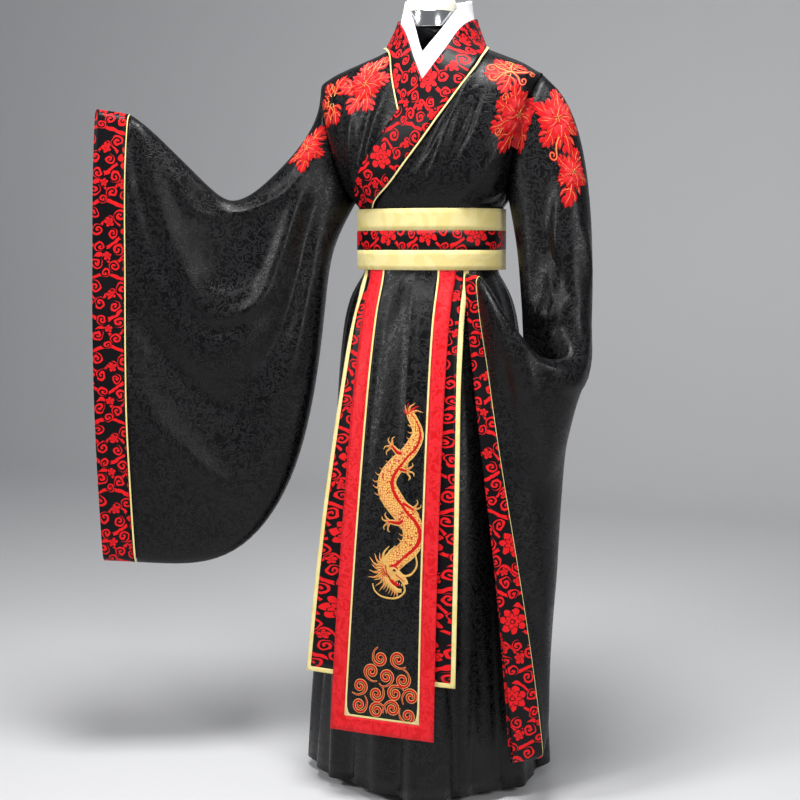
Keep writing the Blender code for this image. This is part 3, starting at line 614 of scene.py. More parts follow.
def smooth_copy(node, name, levels):
    """A merged copy of a solid, subdivided, with the edges of its wall kept."""
    form = bmesh.new()
    form.from_mesh(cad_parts[node].data)
    bmesh.ops.remove_doubles(form, verts=form.verts, dist=MERGE)
    bmesh.ops.join_triangles(form, faces=form.faces, angle_face_threshold=JOIN_FACE_ANGLE,
                             angle_shape_threshold=JOIN_SHAPE_ANGLE)
    crease = form.edges.layers.float.new("crease_edge")
    thin = {face for face in form.faces if min(edge.calc_length() for edge in face.edges) < WALL_MOST}
    for edge in form.edges:
        if len(edge.link_faces) == 2 and edge.calc_face_angle(0) > RIM_ANGLE:
            if any(face in thin for face in edge.link_faces):
                edge[crease] = 1.0
    piece = linked(name, form)
    smoothing = piece.modifiers.new("Smoothing", "SUBSURF")
    smoothing.levels = levels
    smoothing.render_levels = levels
    bpy.context.view_layer.update()
    seen = piece.evaluated_get(bpy.context.evaluated_depsgraph_get())
    fine = bpy.data.meshes.new_from_object(seen)
    coarse = piece.data
    piece.modifiers.clear()
    piece.data = fine
    bpy.data.meshes.remove(coarse)
    fine.name = name
    return piece


def points_of(piece):
    values = np.empty(len(piece.data.vertices) * 3, np.float32)
    piece.data.vertices.foreach_get("co", values)
    return values.reshape(-1, 3).astype(float)


def set_points(piece, points):
    piece.data.vertices.foreach_set("co", points.astype(np.float32).ravel())
    piece.data.update()


print("copies get", CLOTH_LEVELS, "levels of subdivision")

# %% [markdown]
# ## The pieces of cloth
# One table names every cut piece and its cloth. Panels that hang on other cloth are lifted by
# a millimetre or two, because both layers are smoother than their solids. Each piece stands
# for its own node, so the solid is hidden and the cloth shows in its place.

# %% The pieces of cloth


def stand_for(piece, node, sharp=RIM_ANGLE):
    """Shading, body and replaced node of one piece."""
    piece.data.shade_smooth()
    piece.data.set_sharp_from_angle(angle=sharp)
    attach(piece, BODY)
    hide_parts(node)


def covered_copy(node, name, levels, material):
    """A smooth copy in one material."""
    piece = smooth_copy(node, name, levels)
    piece.data.materials.clear()
    piece.data.materials.append(material)
    return piece


# node: name of the piece, material, lift off the cloth under it in metres
CLOTH = {
    "back": ("robe_back", black_satin, 0.0),
    "front_left": ("robe_front_left", black_satin, 0.0),
    "front_right": ("robe_front_right", black_satin, 0.0),
    "sleeve_right": ("sleeve_held_out", black_satin, 0.0),
    "sleeve_left": ("sleeve_let_down", black_satin, 0.0),
    "cuff_right": ("cuff_held_out", red_brocade, 0.0),
    "cuff_left": ("cuff_let_down", red_brocade, 0.0),
    "cuff_piping_right": ("cuff_held_out_piping", cream_satin, 0.0),
    "cuff_piping_left": ("cuff_let_down_piping", cream_satin, 0.0),
    "collar": ("collar_band", red_brocade, 0.0),
    "collar_piping": ("collar_band_piping", cream_satin, 0.0),
    "inner_collar": ("white_collar", white_cotton, 0.0),
    "belt_lower": ("belt_lower_strip", cream_satin, 0.0),
    "belt_band": ("belt_middle", red_brocade, 0.0),
    "belt_upper": ("belt_upper_strip", cream_satin, 0.0),
    "under_panel": ("wide_panel", red_brocade, 0.0008),
    "under_panel_binding": ("wide_panel_binding", cream_satin, 0.0010),
    "front_panel": ("dragon_panel", black_satin, 0.0018),
    "front_panel_border": ("dragon_panel_border", red_satin, 0.0018),
    "front_panel_piping": ("dragon_panel_piping", cream_satin, 0.0020),
}
pieces = {}
for node, (name, material, _) in CLOTH.items():
    pieces[node] = covered_copy(node, name, CLOTH_LEVELS, material)
print({node: len(piece.data.vertices) for node, piece in pieces.items()})

# %% [markdown]
# ## Creases
# The large folds are in the solids. Here come the small ones. All layers of the skirt move
# by one rule of height and angle round the body, so a panel stays on the cloth under it. The
# creases of the sleeves and the bodice are drawn on the picture, laid on the cloth
# along the line of sight, and pushed in or out with a soft round section.

# %% Skirt creases
WAIST_Z = 1.048
SKIRT_CREASES = 46
SKIRT_SEED = 11
# the cloth behind the hanging panels, where no hem fold may push out
PANELS_X = -0.010
PANELS_HALF = 0.165
PANELS_EASE = 0.030
PANELS_LOW = 0.300


def skirt_creases():
    """Angle, slant, half width, depth, and the height to which each crease runs down."""
    draw = random.Random(SKIRT_SEED)
    rows = []
    for number in range(SKIRT_CREASES):
        angle = (number + draw.uniform(-0.38, 0.38)) / SKIRT_CREASES * math.tau
        slant = draw.uniform(-0.10, 0.10)
        width = draw.uniform(0.006, 0.013)
        depth = draw.choice((-1, 1, 1)) * draw.uniform(0.0010, 0.0038)
        rows.append((angle, slant, width, depth, draw.uniform(0.25, 0.92)))
    return rows


# angle round the body in degrees, slant in degrees for each metre down, half width and depth
HEM_FOLDS = (
    (-168, 4, 0.022, 0.010), (-150, -3, 0.018, -0.011), (-131, 2, 0.024, 0.009), (-112, 5, 0.017, -0.010),
    (-96, -4, 0.021, 0.009), (-80, 3, 0.016, -0.011), (-65, 0, 0.018, 0.010), (-50, -4, 0.015, -0.010),
    (-36, 3, 0.014, 0.007), (-21, -2, 0.016, -0.008), (-8, 3, 0.015, 0.006), (4, 2, 0.015, -0.012),
    (17, -3, 0.016, 0.010), (29, 4, 0.013, -0.012), (41, -2, 0.017, 0.009), (56, 3, 0.016, -0.011),
    (70, -4, 0.021, 0.010), (86, 2, 0.018, -0.011), (103, -2, 0.024, 0.009), (121, 5, 0.019, -0.010),
    (138, -3, 0.022, 0.010), (155, 2, 0.017, -0.011), (172, 0, 0.016, 0.008),
)


def gather_skirt(points, hem_share):
    """Moves the points of one layer by the skirt's creases, and by its share of the hem folds."""
    x, y, z = points.T
    radius = np.hypot(x, y) + 1e-6
    angle = np.arctan2(x, -y)
    push = np.zeros(len(points))
    for place, slant, width, depth, low in skirt_creases():
        apart = (angle - place - slant * (WAIST_Z - z) + math.pi) % math.tau - math.pi
        section = np.exp(-((apart * radius / width) ** 2))
        run = np.clip((WAIST_Z - z) / 0.05, 0, 1) * np.clip((z - low) / 0.25, 0, 1)
        push += depth * section * run
    beside = np.clip((PANELS_HALF - np.abs(x - PANELS_X)) / PANELS_EASE, 0, 1)
    above = np.clip((z - PANELS_LOW) / 0.05 + 1, 0, 1)
    under_panels = beside * (y < 0) * above
    for place, slant, width, depth in HEM_FOLDS:
        apart = (angle - np.radians(place + slant * (WAIST_Z - z)) + math.pi) % math.tau - math.pi
        section = np.exp(-((apart * radius / width) ** 2))
        run = np.clip((0.98 - z) / 0.75, 0, 1) ** 1.3
        push += hem_share * np.where(depth > 0, 1 - under_panels, 1.0) * depth * section * run
    moved = points.copy()
    moved[:, 0] += push * x / radius
    moved[:, 1] += push * y / radius
    return moved


print(len(skirt_creases()), "small creases and", len(HEM_FOLDS), "hem folds")

# %% [markdown]
# ## Shoulders, and the skirt's layers
# The seam of the sleeve makes a corner on the shoulder, which worn cloth rounds off. A soft
# bell of height over that corner lowers front, back and sleeve together, so they stay joined.

# %% Shoulders and skirt
SHOULDER_X = 0.233
SHOULDER_DROP = 0.0075
SHOULDER_SPREAD = (0.030, 0.075)


def round_shoulders(points):
    """Lowers the cloth a little where the shoulder turns into the sleeve."""
    x, y, z = points.T
    across = np.exp(-(((np.abs(x) - SHOULDER_X) / SHOULDER_SPREAD[0]) ** 2))
    along = np.exp(-((y / SHOULDER_SPREAD[1]) ** 2))
    moved = points.copy()
    moved[:, 2] -= SHOULDER_DROP * across * along * np.clip((z - 1.37) / 0.05, 0, 1)
    return moved


for node in ("back", "front_left", "front_right", "sleeve_left", "sleeve_right"):
    set_points(pieces[node], round_shoulders(points_of(pieces[node])))

SKIRT_LAYERS = ("back", "front_left", "front_right", "under_panel", "under_panel_binding",
                "front_panel", "front_panel_border", "front_panel_piping")
for node in SKIRT_LAYERS:
    hem_share = 0.0 if "panel" in node else 1.0
    set_points(pieces[node], gather_skirt(points_of(pieces[node]), hem_share))
print(SKIRT_CREASES, "skirt creases on", len(SKIRT_LAYERS), "layers")

# %% [markdown]
# ## Creases drawn on the picture
# The folds that fan from the shoulder, the hand and the cuff are too uneven for a rule. Each
# is a line of a few points of the picture, and its width and depth are real sizes. The same
# lines, mirrored and a little softer, give the hidden sides folds of the same kind.

# %% Drawn creases
# points of the picture, half width and depth in metres, minus for a trough
BODICE_CREASES = (
    ("front_left", ((470, 75), (455, 110), (440, 150), (425, 190)), 0.010, 0.0035),
    ("front_left", ((480, 95), (468, 130), (450, 165)), 0.008, -0.0030),
    ("front_left", ((500, 150), (480, 175), (455, 200)), 0.012, 0.0025),
    ("front_left", ((530, 185), (505, 196), (480, 205)), 0.010, -0.0030),
    ("front_left", ((446, 120), (432, 150), (416, 176)), 0.007, 0.0022),
    ("front_right", ((388, 85), (375, 120), (366, 160), (362, 200)), 0.008, 0.0032),
    ("front_right", ((378, 90), (366, 125), (358, 160)), 0.007, -0.0026),
    ("front_right", ((352, 110), (350, 150), (356, 190)), 0.009, 0.0028),
)
HELD_CREASES = (
    ("sleeve_right", ((140, 128), (152, 180), (170, 240), (196, 290), (228, 300), (262, 285)), 0.016, 0.0045),
    ("sleeve_right", ((150, 125), (170, 170), (192, 208), (214, 212)), 0.010, 0.0045),
    ("sleeve_right", ((132, 128), (142, 190), (158, 255), (180, 305)), 0.014, -0.0045),
    ("sleeve_right", ((196, 300), (218, 316), (244, 312), (272, 290)), 0.012, 0.0040),
    ("sleeve_right", ((186, 312), (206, 332), (232, 330), (258, 312)), 0.012, -0.0045),
    ("sleeve_right", ((300, 190), (285, 240), (262, 300), (232, 332)), 0.018, 0.0055),
    ("sleeve_right", ((310, 210), (300, 270), (282, 330), (256, 372)), 0.018, -0.0040),
    ("sleeve_right", ((316, 240), (304, 310), (290, 370), (262, 420)), 0.020, 0.0040),
    ("sleeve_right", ((130, 300), (160, 350), (200, 392), (240, 420)), 0.020, -0.0035),
    ("sleeve_right", ((130, 380), (165, 430), (205, 470), (236, 500)), 0.022, 0.0035),
    ("sleeve_right", ((220, 214), (250, 212), (282, 196), (306, 172)), 0.010, 0.0030),
)
HUNG_CREASES = (
    ("sleeve_left", ((531, 316), (556, 312), (580, 306), (596, 303)), 0.012, 0.0050),
    ("sleeve_left", ((486, 280), (503, 289), (520, 303), (547, 344), (581, 385)), 0.012, 0.0045),
    ("sleeve_left", ((500, 305), (520, 335), (545, 372), (570, 400)), 0.012, -0.0040),
    ("sleeve_left", ((545, 240), (560, 280), (580, 300)), 0.012, -0.0040),
    ("sleeve_left", ((590, 180), (585, 230), (590, 290)), 0.014, 0.0040),
    ("sleeve_left", ((560, 190), (556, 240), (552, 290)), 0.012, 0.0030),
    ("sleeve_left", ((590, 330), (584, 360), (570, 390)), 0.012, 0.0035),
    ("sleeve_left", ((515, 330), (535, 400), (550, 470), (560, 540)), 0.018, 0.0035),
    ("sleeve_left", ((500, 350), (512, 430), (530, 520), (545, 600)), 0.018, -0.0035),
)
REACH_OF_A_CREASE = 3.0
CREASE_SHARE = 2.0
CREASE_STEP = 0.006
LONGEST_LEAP = 0.16
HIDDEN_SHIFT = (9, 7)


def surface_of(piece):
    """A tree for finding where a line of sight meets the piece."""
    polygons = [tuple(face.vertices) for face in piece.data.polygons]
    return BVHTree.FromPolygons([v.co.copy() for v in piece.data.vertices], polygons)


def draw_crease(piece, tree, picture_points, width, depth, turned=False):
    """Pushes the cloth along its normal, on a soft line through points of the picture."""
    hits = [tree.ray_cast(*sight_line(across, down, turned)) for across, down in picture_points]
    hits = [hit for hit in hits if hit[0] is not None]
    if len(hits) < 2:
        return 0
    line = []
    normals = []
    for (start, normal_0, _, _), (end, normal_1, _, _) in zip(hits, hits[1:]):
        if (end - start).length > LONGEST_LEAP:
            continue
        steps = max(2, int((end - start).length / CREASE_STEP))
        for step in range(steps):
            line.append(start.lerp(end, step / steps))
            normals.append(normal_0.lerp(normal_1, step / steps).normalized())
    if not line:
        return 0
    line = np.array(line)
    normals = np.array(normals)
    points = points_of(piece)
    share = np.linspace(0, 1, len(line))
    near = np.where(((points > line.min(0) - 0.08) & (points < line.max(0) + 0.08)).all(1))[0]
    apart = np.linalg.norm(points[near, None] - line[None], axis=2)
    closest = apart.argmin(1)
    apart = apart.min(1)
    taper = np.sin(math.pi * np.clip(share[closest] * 0.9 + 0.05, 0, 1)) ** 0.6
    push = depth * taper * np.exp(-((apart / width) ** 2)) * (apart < REACH_OF_A_CREASE * width)
    points[near] += CREASE_SHARE * push[:, None] * normals[closest]
    set_points(piece, points)
    return 1


def crease_sleeves_and_bodice():
    """The drawn creases in front, and like ones seen from behind on the hidden sides."""
    made = 0
    hidden_sides = {"back": BODICE_CREASES, "sleeve_right": HELD_CREASES, "sleeve_left": HUNG_CREASES}
    right = 2 * (0.5 - SHIFT) * PICTURE + HIDDEN_SHIFT[0]
    for hidden, rows in hidden_sides.items():
        trees = {node: surface_of(pieces[node]) for node in {row[0] for row in rows} | {hidden}}
        for node, drawn, width, depth in rows:
            made += draw_crease(pieces[node], trees[node], drawn, width, depth)
            mirrored = [(right - across, down + HIDDEN_SHIFT[1]) for across, down in drawn]
            made += draw_crease(pieces[hidden], trees[hidden], mirrored, width * 1.1, depth * 0.9, True)
    return made


print(crease_sleeves_and_bodice(), "drawn creases")

# %% [markdown]
# ## The maps of the cloth
# Brocade follows the cloth, so each piece gets a map in metres: round the body for what
# goes round it, and across the picture for the cuffs, which hang flat towards the viewer.
# The lift keeps a panel just off what it lies on, now that both are smoother.

# %% Maps and lifts
ROUND_THE_BODY = 0.150


def add_map(piece, turned, across):
    """A map named cloth, in metres."""
    points = points_of(piece)
    if across:
        along = points[:, 0] * math.cos(CAMERA_TURN) + points[:, 1] * math.sin(CAMERA_TURN)
    elif turned:
        along = np.arctan2(-points[:, 0], points[:, 1]) * ROUND_THE_BODY
    else:
        along = np.arctan2(points[:, 0], -points[:, 1]) * ROUND_THE_BODY
    loops = np.empty(len(piece.data.loops), np.int32)
    piece.data.loops.foreach_get("vertex_index", loops)
    values = np.column_stack((along, points[:, 2]))[loops]
    layer = piece.data.uv_layers.new(name="cloth")
    layer.data.foreach_set("uv", values.astype(np.float32).ravel())


def lift_outward(piece, lift):
    """Moves a piece away from the body's axis."""
    points = points_of(piece)
    radius = np.hypot(points[:, 0], points[:, 1])[:, None] + 1e-6
    points[:, :2] += lift * points[:, :2] / radius
    set_points(piece, points)


for node, (_, material, lift) in CLOTH.items():
    if lift:
        lift_outward(pieces[node], lift)
    add_map(pieces[node], node == "back", node.startswith(("cuff", "sleeve")))
    stand_for(pieces[node], node)
print("mapped", len(pieces), "pieces")

# %% [markdown]
# ## The dress form
# The torso is a smooth copy of its solid, covered in black jersey. The ring, cap, pole and
# base are turned, so each one is a profile spun round the form's axis.

# %% The form
TURNED_STEPS = 72
TURNED_SHARP = math.radians(40)
CAP_STEPS = 8
CAP_STRAIGHT = 0.25


def turned_piece(name, profile, axis_y, material, node):
    """Spins a profile of (radius, height) round the upright axis at axis_y."""
    form = bmesh.new()
    verts = [form.verts.new((radius, 0, height)) for radius, height in profile]
    edges = [form.edges.new(pair) for pair in zip(verts, verts[1:])]
    bmesh.ops.spin(form, geom=verts + edges, cent=(0, 0, 0), axis=(0, 0, 1), angle=math.tau,
                   steps=TURNED_STEPS, use_merge=True)
    bmesh.ops.remove_doubles(form, verts=form.verts, dist=MERGE)
    bmesh.ops.recalc_face_normals(form, faces=form.faces)
    bmesh.ops.translate(form, verts=form.verts, vec=(0, axis_y, 0))
    piece = linked(name, form)
    piece.data.materials.append(material)
    stand_for(piece, node, TURNED_SHARP)


def rounded(radius, low, high, edge):
    """The profile of a turned disc or drum with rounded edges, closed on its axis."""
    arc = [math.radians(angle) for angle in (0, 22.5, 45, 67.5, 90)]
    under = [(radius - edge + edge * math.sin(a), low + edge - edge * math.cos(a)) for a in arc]
    over = [(radius - edge + edge * math.cos(a), high - edge + edge * math.sin(a)) for a in arc]
    return [(0, low), *under, *over, (0, high)]


def size_of(node):
    low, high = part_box(node)
    return (high.x - low.x) / 2, (high.y + low.y) / 2, low.z, high.z


def domed(radius, low, high):
    """The profile of a cap: a short straight side under a rounded top."""
    side = CAP_STRAIGHT * (high - low)
    profile = [(0, low), (radius, low)]
    for step in range(CAP_STEPS + 1):
        angle = step / CAP_STEPS * math.pi / 2
        profile.append((radius * math.cos(angle), low + side + (high - low - side) * math.sin(angle)))
    return profile


torso = covered_copy("form_torso", "form_body", FORM_LEVELS, form_cover)
stand_for(torso, "form_torso")

# node: name, material and the radius of its rounded edges
HARD_PIECES = {
    "form_neck_ring": ("neck_ring", chrome, 0.0025),
    "form_pole": ("form_post", chrome, 0.0010),
    "form_base": ("form_foot", base_paint, 0.0040),
}
for node, (name, material, edge) in HARD_PIECES.items():
    radius, axis_y, low, high = size_of(node)
    turned_piece(name, rounded(radius, low, high, edge), axis_y, material, node)

radius, axis_y, low, high = size_of("form_neck_cap")
turned_piece("neck_cap", domed(radius, low, high), axis_y, ivory_cap, "form_neck_cap")
print("form with torso, ring, cap, post and foot")

# %% [markdown]
# ## Embroidery
# A motif is drawn in millimetres on a flat patch that touches the cloth where a line of
# sight meets it, and every point of a shape is then brought to the nearest cloth. Each shape
# is a strip: a path, a width that changes along it, and a low dome across it, so petals,
# leaves, curls, claws and the dragon's body are all made by one function.

# %% Satin stitch
DOME = 0.0006
SUNK = -0.0001
LAYER_RISE = 0.00035


def smooth_path(points, steps):
    """A Catmull-Rom curve through given points."""
    points = [Vector(point) for point in points]
    ends = [2 * points[0] - points[1], *points, 2 * points[-1] - points[-2]]
    curve = []
    for p0, p1, p2, p3 in zip(ends, ends[1:], ends[2:], ends[3:]):
        for step in range(steps):
            t = step / steps
            curve.append(0.5 * (2 * p1 + (p2 - p0) * t + (2 * p0 - 5 * p1 + 4 * p2 - p3) * t * t
                                + (3 * p1 - p0 - 3 * p2 + p3) * t ** 3))
    curve.append(points[-1])
    return curve


class Embroidery:
    """Stitched shapes on one patch of cloth, joined in one mesh."""

    def __init__(self, cloth_pieces, across, down, up_across=None, up_down=None):
        best = None
        for piece in cloth_pieces:
            hit = surface_of(piece).ray_cast(*sight_line(across, down))
            if hit[0] is not None and (best is None or hit[3] < best[3]):
                best = hit
        self.centre, self.normal = best[0], best[1].normalized()
        upright = Vector((0, 0, 1))
        if up_across is not None:
            other = surface_of(cloth_pieces[0]).ray_cast(*sight_line(up_across, up_down))[0]
            upright = other - self.centre
        self.right = upright.cross(self.normal).normalized()
        self.up = self.normal.cross(self.right).normalized()
        self.tree = self.facing(cloth_pieces)
        self.form = bmesh.new()
        self.map = self.form.loops.layers.uv.new("cloth")

    def facing(self, cloth_pieces, near=0.34, least=0.12):
        """A tree of the faces round the patch that look the same way as it."""
        verts = []
        polygons = []
        for piece in cloth_pieces:
            first = len(verts)
            verts += [v.co.copy() for v in piece.data.vertices]
            for face in piece.data.polygons:
                if (face.center - self.centre).length < near and face.normal.dot(self.normal) > least:
                    polygons.append(tuple(first + index for index in face.vertices))
        return BVHTree.FromPolygons(verts, polygons)

    def on_cloth(self, x, y, height):
        """A point of the flat patch, in millimetres, brought onto the cloth."""
        flat = self.centre + self.right * (x * MM) + self.up * (y * MM) + self.normal * 0.004
        place, normal, _, _ = self.tree.find_nearest(flat)
        return place + normal * height

    def strip(self, path, width, colour, layer=0, steps=4, across=4):
        """One shape: points in millimetres, width in millimetres by share of the way."""
        curve = smooth_path(path, steps)
        count = len(curve) - 1
        made = bmesh.ops.create_grid(self.form, x_segments=count, y_segments=across, size=1.0)["verts"]
        spots = {}
        for vert in made:
            share = (vert.co.x + 1) / 2
            side = vert.co.y
            place = share * count
            index = min(int(place + 0.001), count - 1)
            centre = curve[index].lerp(curve[index + 1], place - index)
            before = curve[max(index - 1, 0)]
            after = curve[min(index + 2, count)]
            way = (after - before).normalized()
            half = 0.5 * width(share)
            x = centre.x - way.y * side * half
            y = centre.y + way.x * side * half
            rise = DOME * (1 - side * side) + LAYER_RISE * (layer + 0.6)
            if abs(side) > 0.99:
                rise += SUNK
            vert.co = self.on_cloth(x, y, rise)
            spots[vert] = (x * MM, y * MM)
        for face in {face for vert in made for face in vert.link_faces}:
            face.material_index = colour
            face.smooth = True
            for loop in face.loops:
                loop[self.map].uv = spots[loop.vert]

    def finish(self, name):
        """Closes the work and returns its object."""
        self.form.normal_update()
        flipped = [face for face in self.form.faces if face.normal.dot(self.normal) < -0.3]
        if len(flipped) > len(self.form.faces) / 2:
            bmesh.ops.reverse_faces(self.form, faces=self.form.faces)
        piece = linked(name, self.form)
        for thread in THREADS:
            piece.data.materials.append(thread)
        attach(piece, BODY)
        return piece


def leaf_width(most, fullest=0.45):
    """A width that is nothing at both ends and most near the middle."""
    return lambda share: most * math.sin(math.pi * share ** (math.log(0.5) / math.log(fullest))) ** 0.8 + 0.15


def taper(start, end):
    return lambda share: start + (end - start) * share


print("satin stitch ready")

# %% [markdown]
# ## Peonies and scrolls on the shoulders
# Red peonies with toothed leaves and cream-lined scrolls run over both shoulders and down the
# upper sleeves. They are ordinary flowers of the right size and place, each drawn by rule:
# rings of paired petals, leaves of seven lobes, and curls.

# %% Peonies and scrolls


def petal(work, x, y, angle, length, width, colour, layer, bend=0.25, lined=True):
    """A petal or leaf that bends to one side, with a cream line along it."""
    way = Vector((math.cos(angle), math.sin(angle)))
    side = Vector((-way.y, way.x))
    root = Vector((x, y))
    path = [root, root + way * length * 0.5 + side * length * bend * 0.5, root + way * length]
    work.strip(path, leaf_width(width + 2.4, 0.55), DEEP, layer - 0.5, across=2)
    work.strip(path, leaf_width(width, 0.55), colour, layer)
    if lined:
        line = [root, path[1], root.lerp(path[2], 0.86)]
        work.strip(line, taper(width * 0.09 + 0.6, 0.4), CREAM, layer + 1.2, across=2)


def lobed_leaf(work, x, y, angle, length, colour, layer=0):
    """An acanthus-like leaf: a long lobe with three shorter pairs, the last one unlined."""
    way = Vector((math.cos(angle), math.sin(angle)))
    petal(work, x, y, angle, length, length * 0.26, colour, layer + 0.9, 0.12)
    for share, spread, size in ((0.12, 0.95, 0.52), (0.38, 0.75, 0.46), (0.62, 0.55, 0.34)):
        root = Vector((x, y)) + way * length * share
        for turn in (-1, 1):
            petal(work, root.x, root.y, angle + turn * spread, length * size, length * 0.15,
                  colour, layer, 0.3 * turn, lined=share < 0.6)


def peony(work, x, y, reach, turn, colours):
    """Three rings of paired petals round a deep red heart with cream stamens."""
    rings = ((1.0, 8, 0.66, colours[0]), (0.70, 7, 0.60, colours[1]), (0.42, 5, 0.50, colours[2]))
    for layer, (share, count, fullness, colour) in enumerate(rings):
        for number in range(count):
            angle = turn + layer * 0.4 + math.tau * number / count
            length = reach * share * (1 + 0.12 * math.sin(3.1 * number + layer))
            for offset in (-0.16, 0.16):
                height = 1.8 + layer * 1.7 + 0.8 * (number % 2)
                petal(work, x, y, angle + offset, length, length * fullness * 0.62, colour,
                      height, offset, lined=offset > 0 and layer < 2)
    work.strip([(x - reach * 0.11, y), (x, y), (x + reach * 0.11, y)], leaf_width(reach * 0.22), DEEP, 7.6)
    for number in range(6):
        angle = turn + math.tau * number / 6
        tip = Vector((x, y)) + Vector((math.cos(angle), math.sin(angle))) * reach * 0.2
        work.strip([(x, y), tip], taper(1.2, 0.7), CREAM, 8.2, across=2)


def scroll(work, x, y, angle, length, curl_reach, way, colour):
    """A stem that runs out and rolls up, with a cream line on it."""
    path = []
    for step in range(7):
        share = step / 6
        out = length * share
        bow = way * length * 0.12 * math.sin(math.pi * share)
        path.append((x + math.cos(angle) * out - math.sin(angle) * bow,
                     y + math.sin(angle) * out + math.cos(angle) * bow))
    centre_x = path[-1][0] - math.sin(angle) * way * curl_reach
    centre_y = path[-1][1] + math.cos(angle) * way * curl_reach
    for step in range(1, 15):
        share = step / 14
        turned = angle - way * math.pi / 2 + way * share * math.tau * 1.15
        reach = curl_reach * (1 - 0.78 * share)
        path.append((centre_x + math.cos(turned) * reach, centre_y + math.sin(turned) * reach))
    work.strip(path, taper(curl_reach * 0.62, curl_reach * 0.34), colour, 0, steps=2)
    work.strip(path, taper(curl_reach * 0.16 + 0.6, 0.8), CREAM, 1.2, steps=2, across=2)


print("petal, leaf, peony and scroll ready")

# %% [markdown]
# ## Where the flowers lie
# A table places seven patches of embroidery on shoulders and sleeves. A patch that crosses the
# armhole is laid on both pieces of cloth, and belongs to the first one named.

# %% The shoulders
LEAF_SHARE = 1.05
# name: the nodes that carry it, its own one first; its place in the picture; colour of its
# leaves and scrolls; how far from the middle its leaves start, and the angle and length of each;
# reach, turn and inner petals' thread of its peony; x, y, angle, length, curl and way of each scroll
SHOULDER_WORKS = {
    "shoulder_scrolls_left": (
        ("front_left", "sleeve_left", "back"), (512, 72), ROSE,
        6, ((0.9, 49.52), (2.0, 49.52), (3.1, 49.52), (4.2, 49.52)), None,
        ((0, 0, 2.5, 40, 11, 1), (0, 0, 0.3, 46, 12, -1), (0, 0, 1.3, 34, 10, 1),
         (0, 0, 3.6, 38, 11, -1), (0, 0, 5.2, 30, 10, 1)),
    ),
    "shoulder_peony_left": (
        ("front_left", "sleeve_left", "back"), (518, 114), RED,
        18, ((2.7, 62), (3.5, 64), (4.3, 66), (5.1, 62), (1.9, 52)), (50, 0.2, RED),
        ((-17.32, 19.39, 2.3, 34, 10, 1), (-18.87, -17.88, 3.9, 34, 10, -1)),
    ),
    "sleeve_peony_left": (
        ("sleeve_left", "front_left"), (558, 118), RED,
        15, ((1.4, 58), (0.6, 50), (-0.3, 52), (-1.3, 62), (-2.2, 56), (2.6, 44)), (46, 0.7, RED),
        ((6, -30, -1.9, 52, 11, -1),),
    ),
    "sleeve_flower_left": (
        ("sleeve_left",), (573, 172), RED,
        10, ((1.2, 42), (2.4, 38), (-0.4, 36), (-1.9, 62), (3.5, 34)), (34, 0.1, ROSE),
        (),
    ),
    "shoulder_peony_right": (
        ("front_right", "sleeve_right", "back"), (366, 84), ROSE,
        14, ((1.1, 60), (1.8, 50), (3.2, 50), (4.2, 56), (4.9, 46), (0.2, 42)), (36, 0.4, RED),
        ((10, 14, 1.2, 44, 10, -1),),
    ),
    "shoulder_leaves_right": (
        ("sleeve_right", "front_right"), (333, 100), RED,
        8, ((1.2, 52), (2.2, 40), (4.3, 54), (5.0, 46), (3.4, 34)), None,
        (),
    ),
    "sleeve_flower_right": (
        ("sleeve_right",), (307, 148), RED,
        8, ((0.9, 50), (2.2, 38), (3.6, 44), (4.6, 46), (-0.4, 36)), (32, 0.9, RED),
        (),
    ),
}


def embroider_shoulder(name, carriers, spot, colour, start, leaves, flower, scrolls):
    """One patch: leaves, then a peony over them, then scrolls."""
    work = Embroidery([pieces[node] for node in carriers], *spot)
    for angle, length in leaves:
        x, y = start * math.cos(angle), start * math.sin(angle)
        lobed_leaf(work, x, y, angle, length * LEAF_SHARE, colour)
    if flower:
        reach, turn, heart = flower
        peony(work, 0, 0, reach, turn, (RED, ROSE, heart))
    for row in scrolls:
        scroll(work, *row, colour)
    return work.finish(name)


stitched = {node: [] for node in pieces}
for name, row in SHOULDER_WORKS.items():
    stitched[row[0][0]].append(embroider_shoulder(name, *row))
print({node: len(works) for node, works in stitched.items() if works})

# %% [markdown]
# ## The dragon and the clouds
# The panel carries a traditional dragon, head down, its body winding up to the tail, over
# rows of spiral clouds. The body is a strip that swings from side to side by a sine, with
# scales as its material and a gold edge; crest, mane, whiskers, legs and claws are strips too.

# %% The dragon


def dragon_spine(share):
    """Centre of the body in millimetres, from the tail's tip at 0 to the neck at 1."""
    y = 186 - 300 * share
    x = 37 * math.sin(math.tau * (1.52 * share + 0.05)) * (0.75 + 0.25 * share)
    return x, y


def dragon_girth(share):
    """Width of the body in millimetres."""
    return 10 + 30 * min(share / 0.55, 1) ** 0.8 - 5 * max(share - 0.75, 0) / 0.25


def claw_foot(work, x, y, angle, reach):
    """A leg that ends in four hooked claws."""
    way = Vector((math.cos(angle), math.sin(angle)))
    side = Vector((-way.y, way.x))
    foot = Vector((x, y)) + way * reach
    leg = [Vector((x, y)), Vector((x, y)) + way * reach * 0.5 + side * reach * 0.16, foot]
    work.strip(leg, taper(15, 9), GOLD, 0.2)
    work.strip(leg, taper(11, 6), RED, 1.0)
    for spread in (-0.95, -0.35, 0.3, 0.95):
        turned = angle + spread
        out = Vector((math.cos(turned), math.sin(turned)))
        hook = Vector((-out.y, out.x)) * (3.5 if spread > 0 else -3.5)
        toe = [foot, foot + out * 9, foot + out * 17 + hook * 0.6, foot + out * 19 + hook * 2.2]
        work.strip(toe, taper(5.5, 1.0), GOLD, 0.6)
        work.strip(toe[:3], taper(2.6, 0.8), RED, 1.6, across=2)


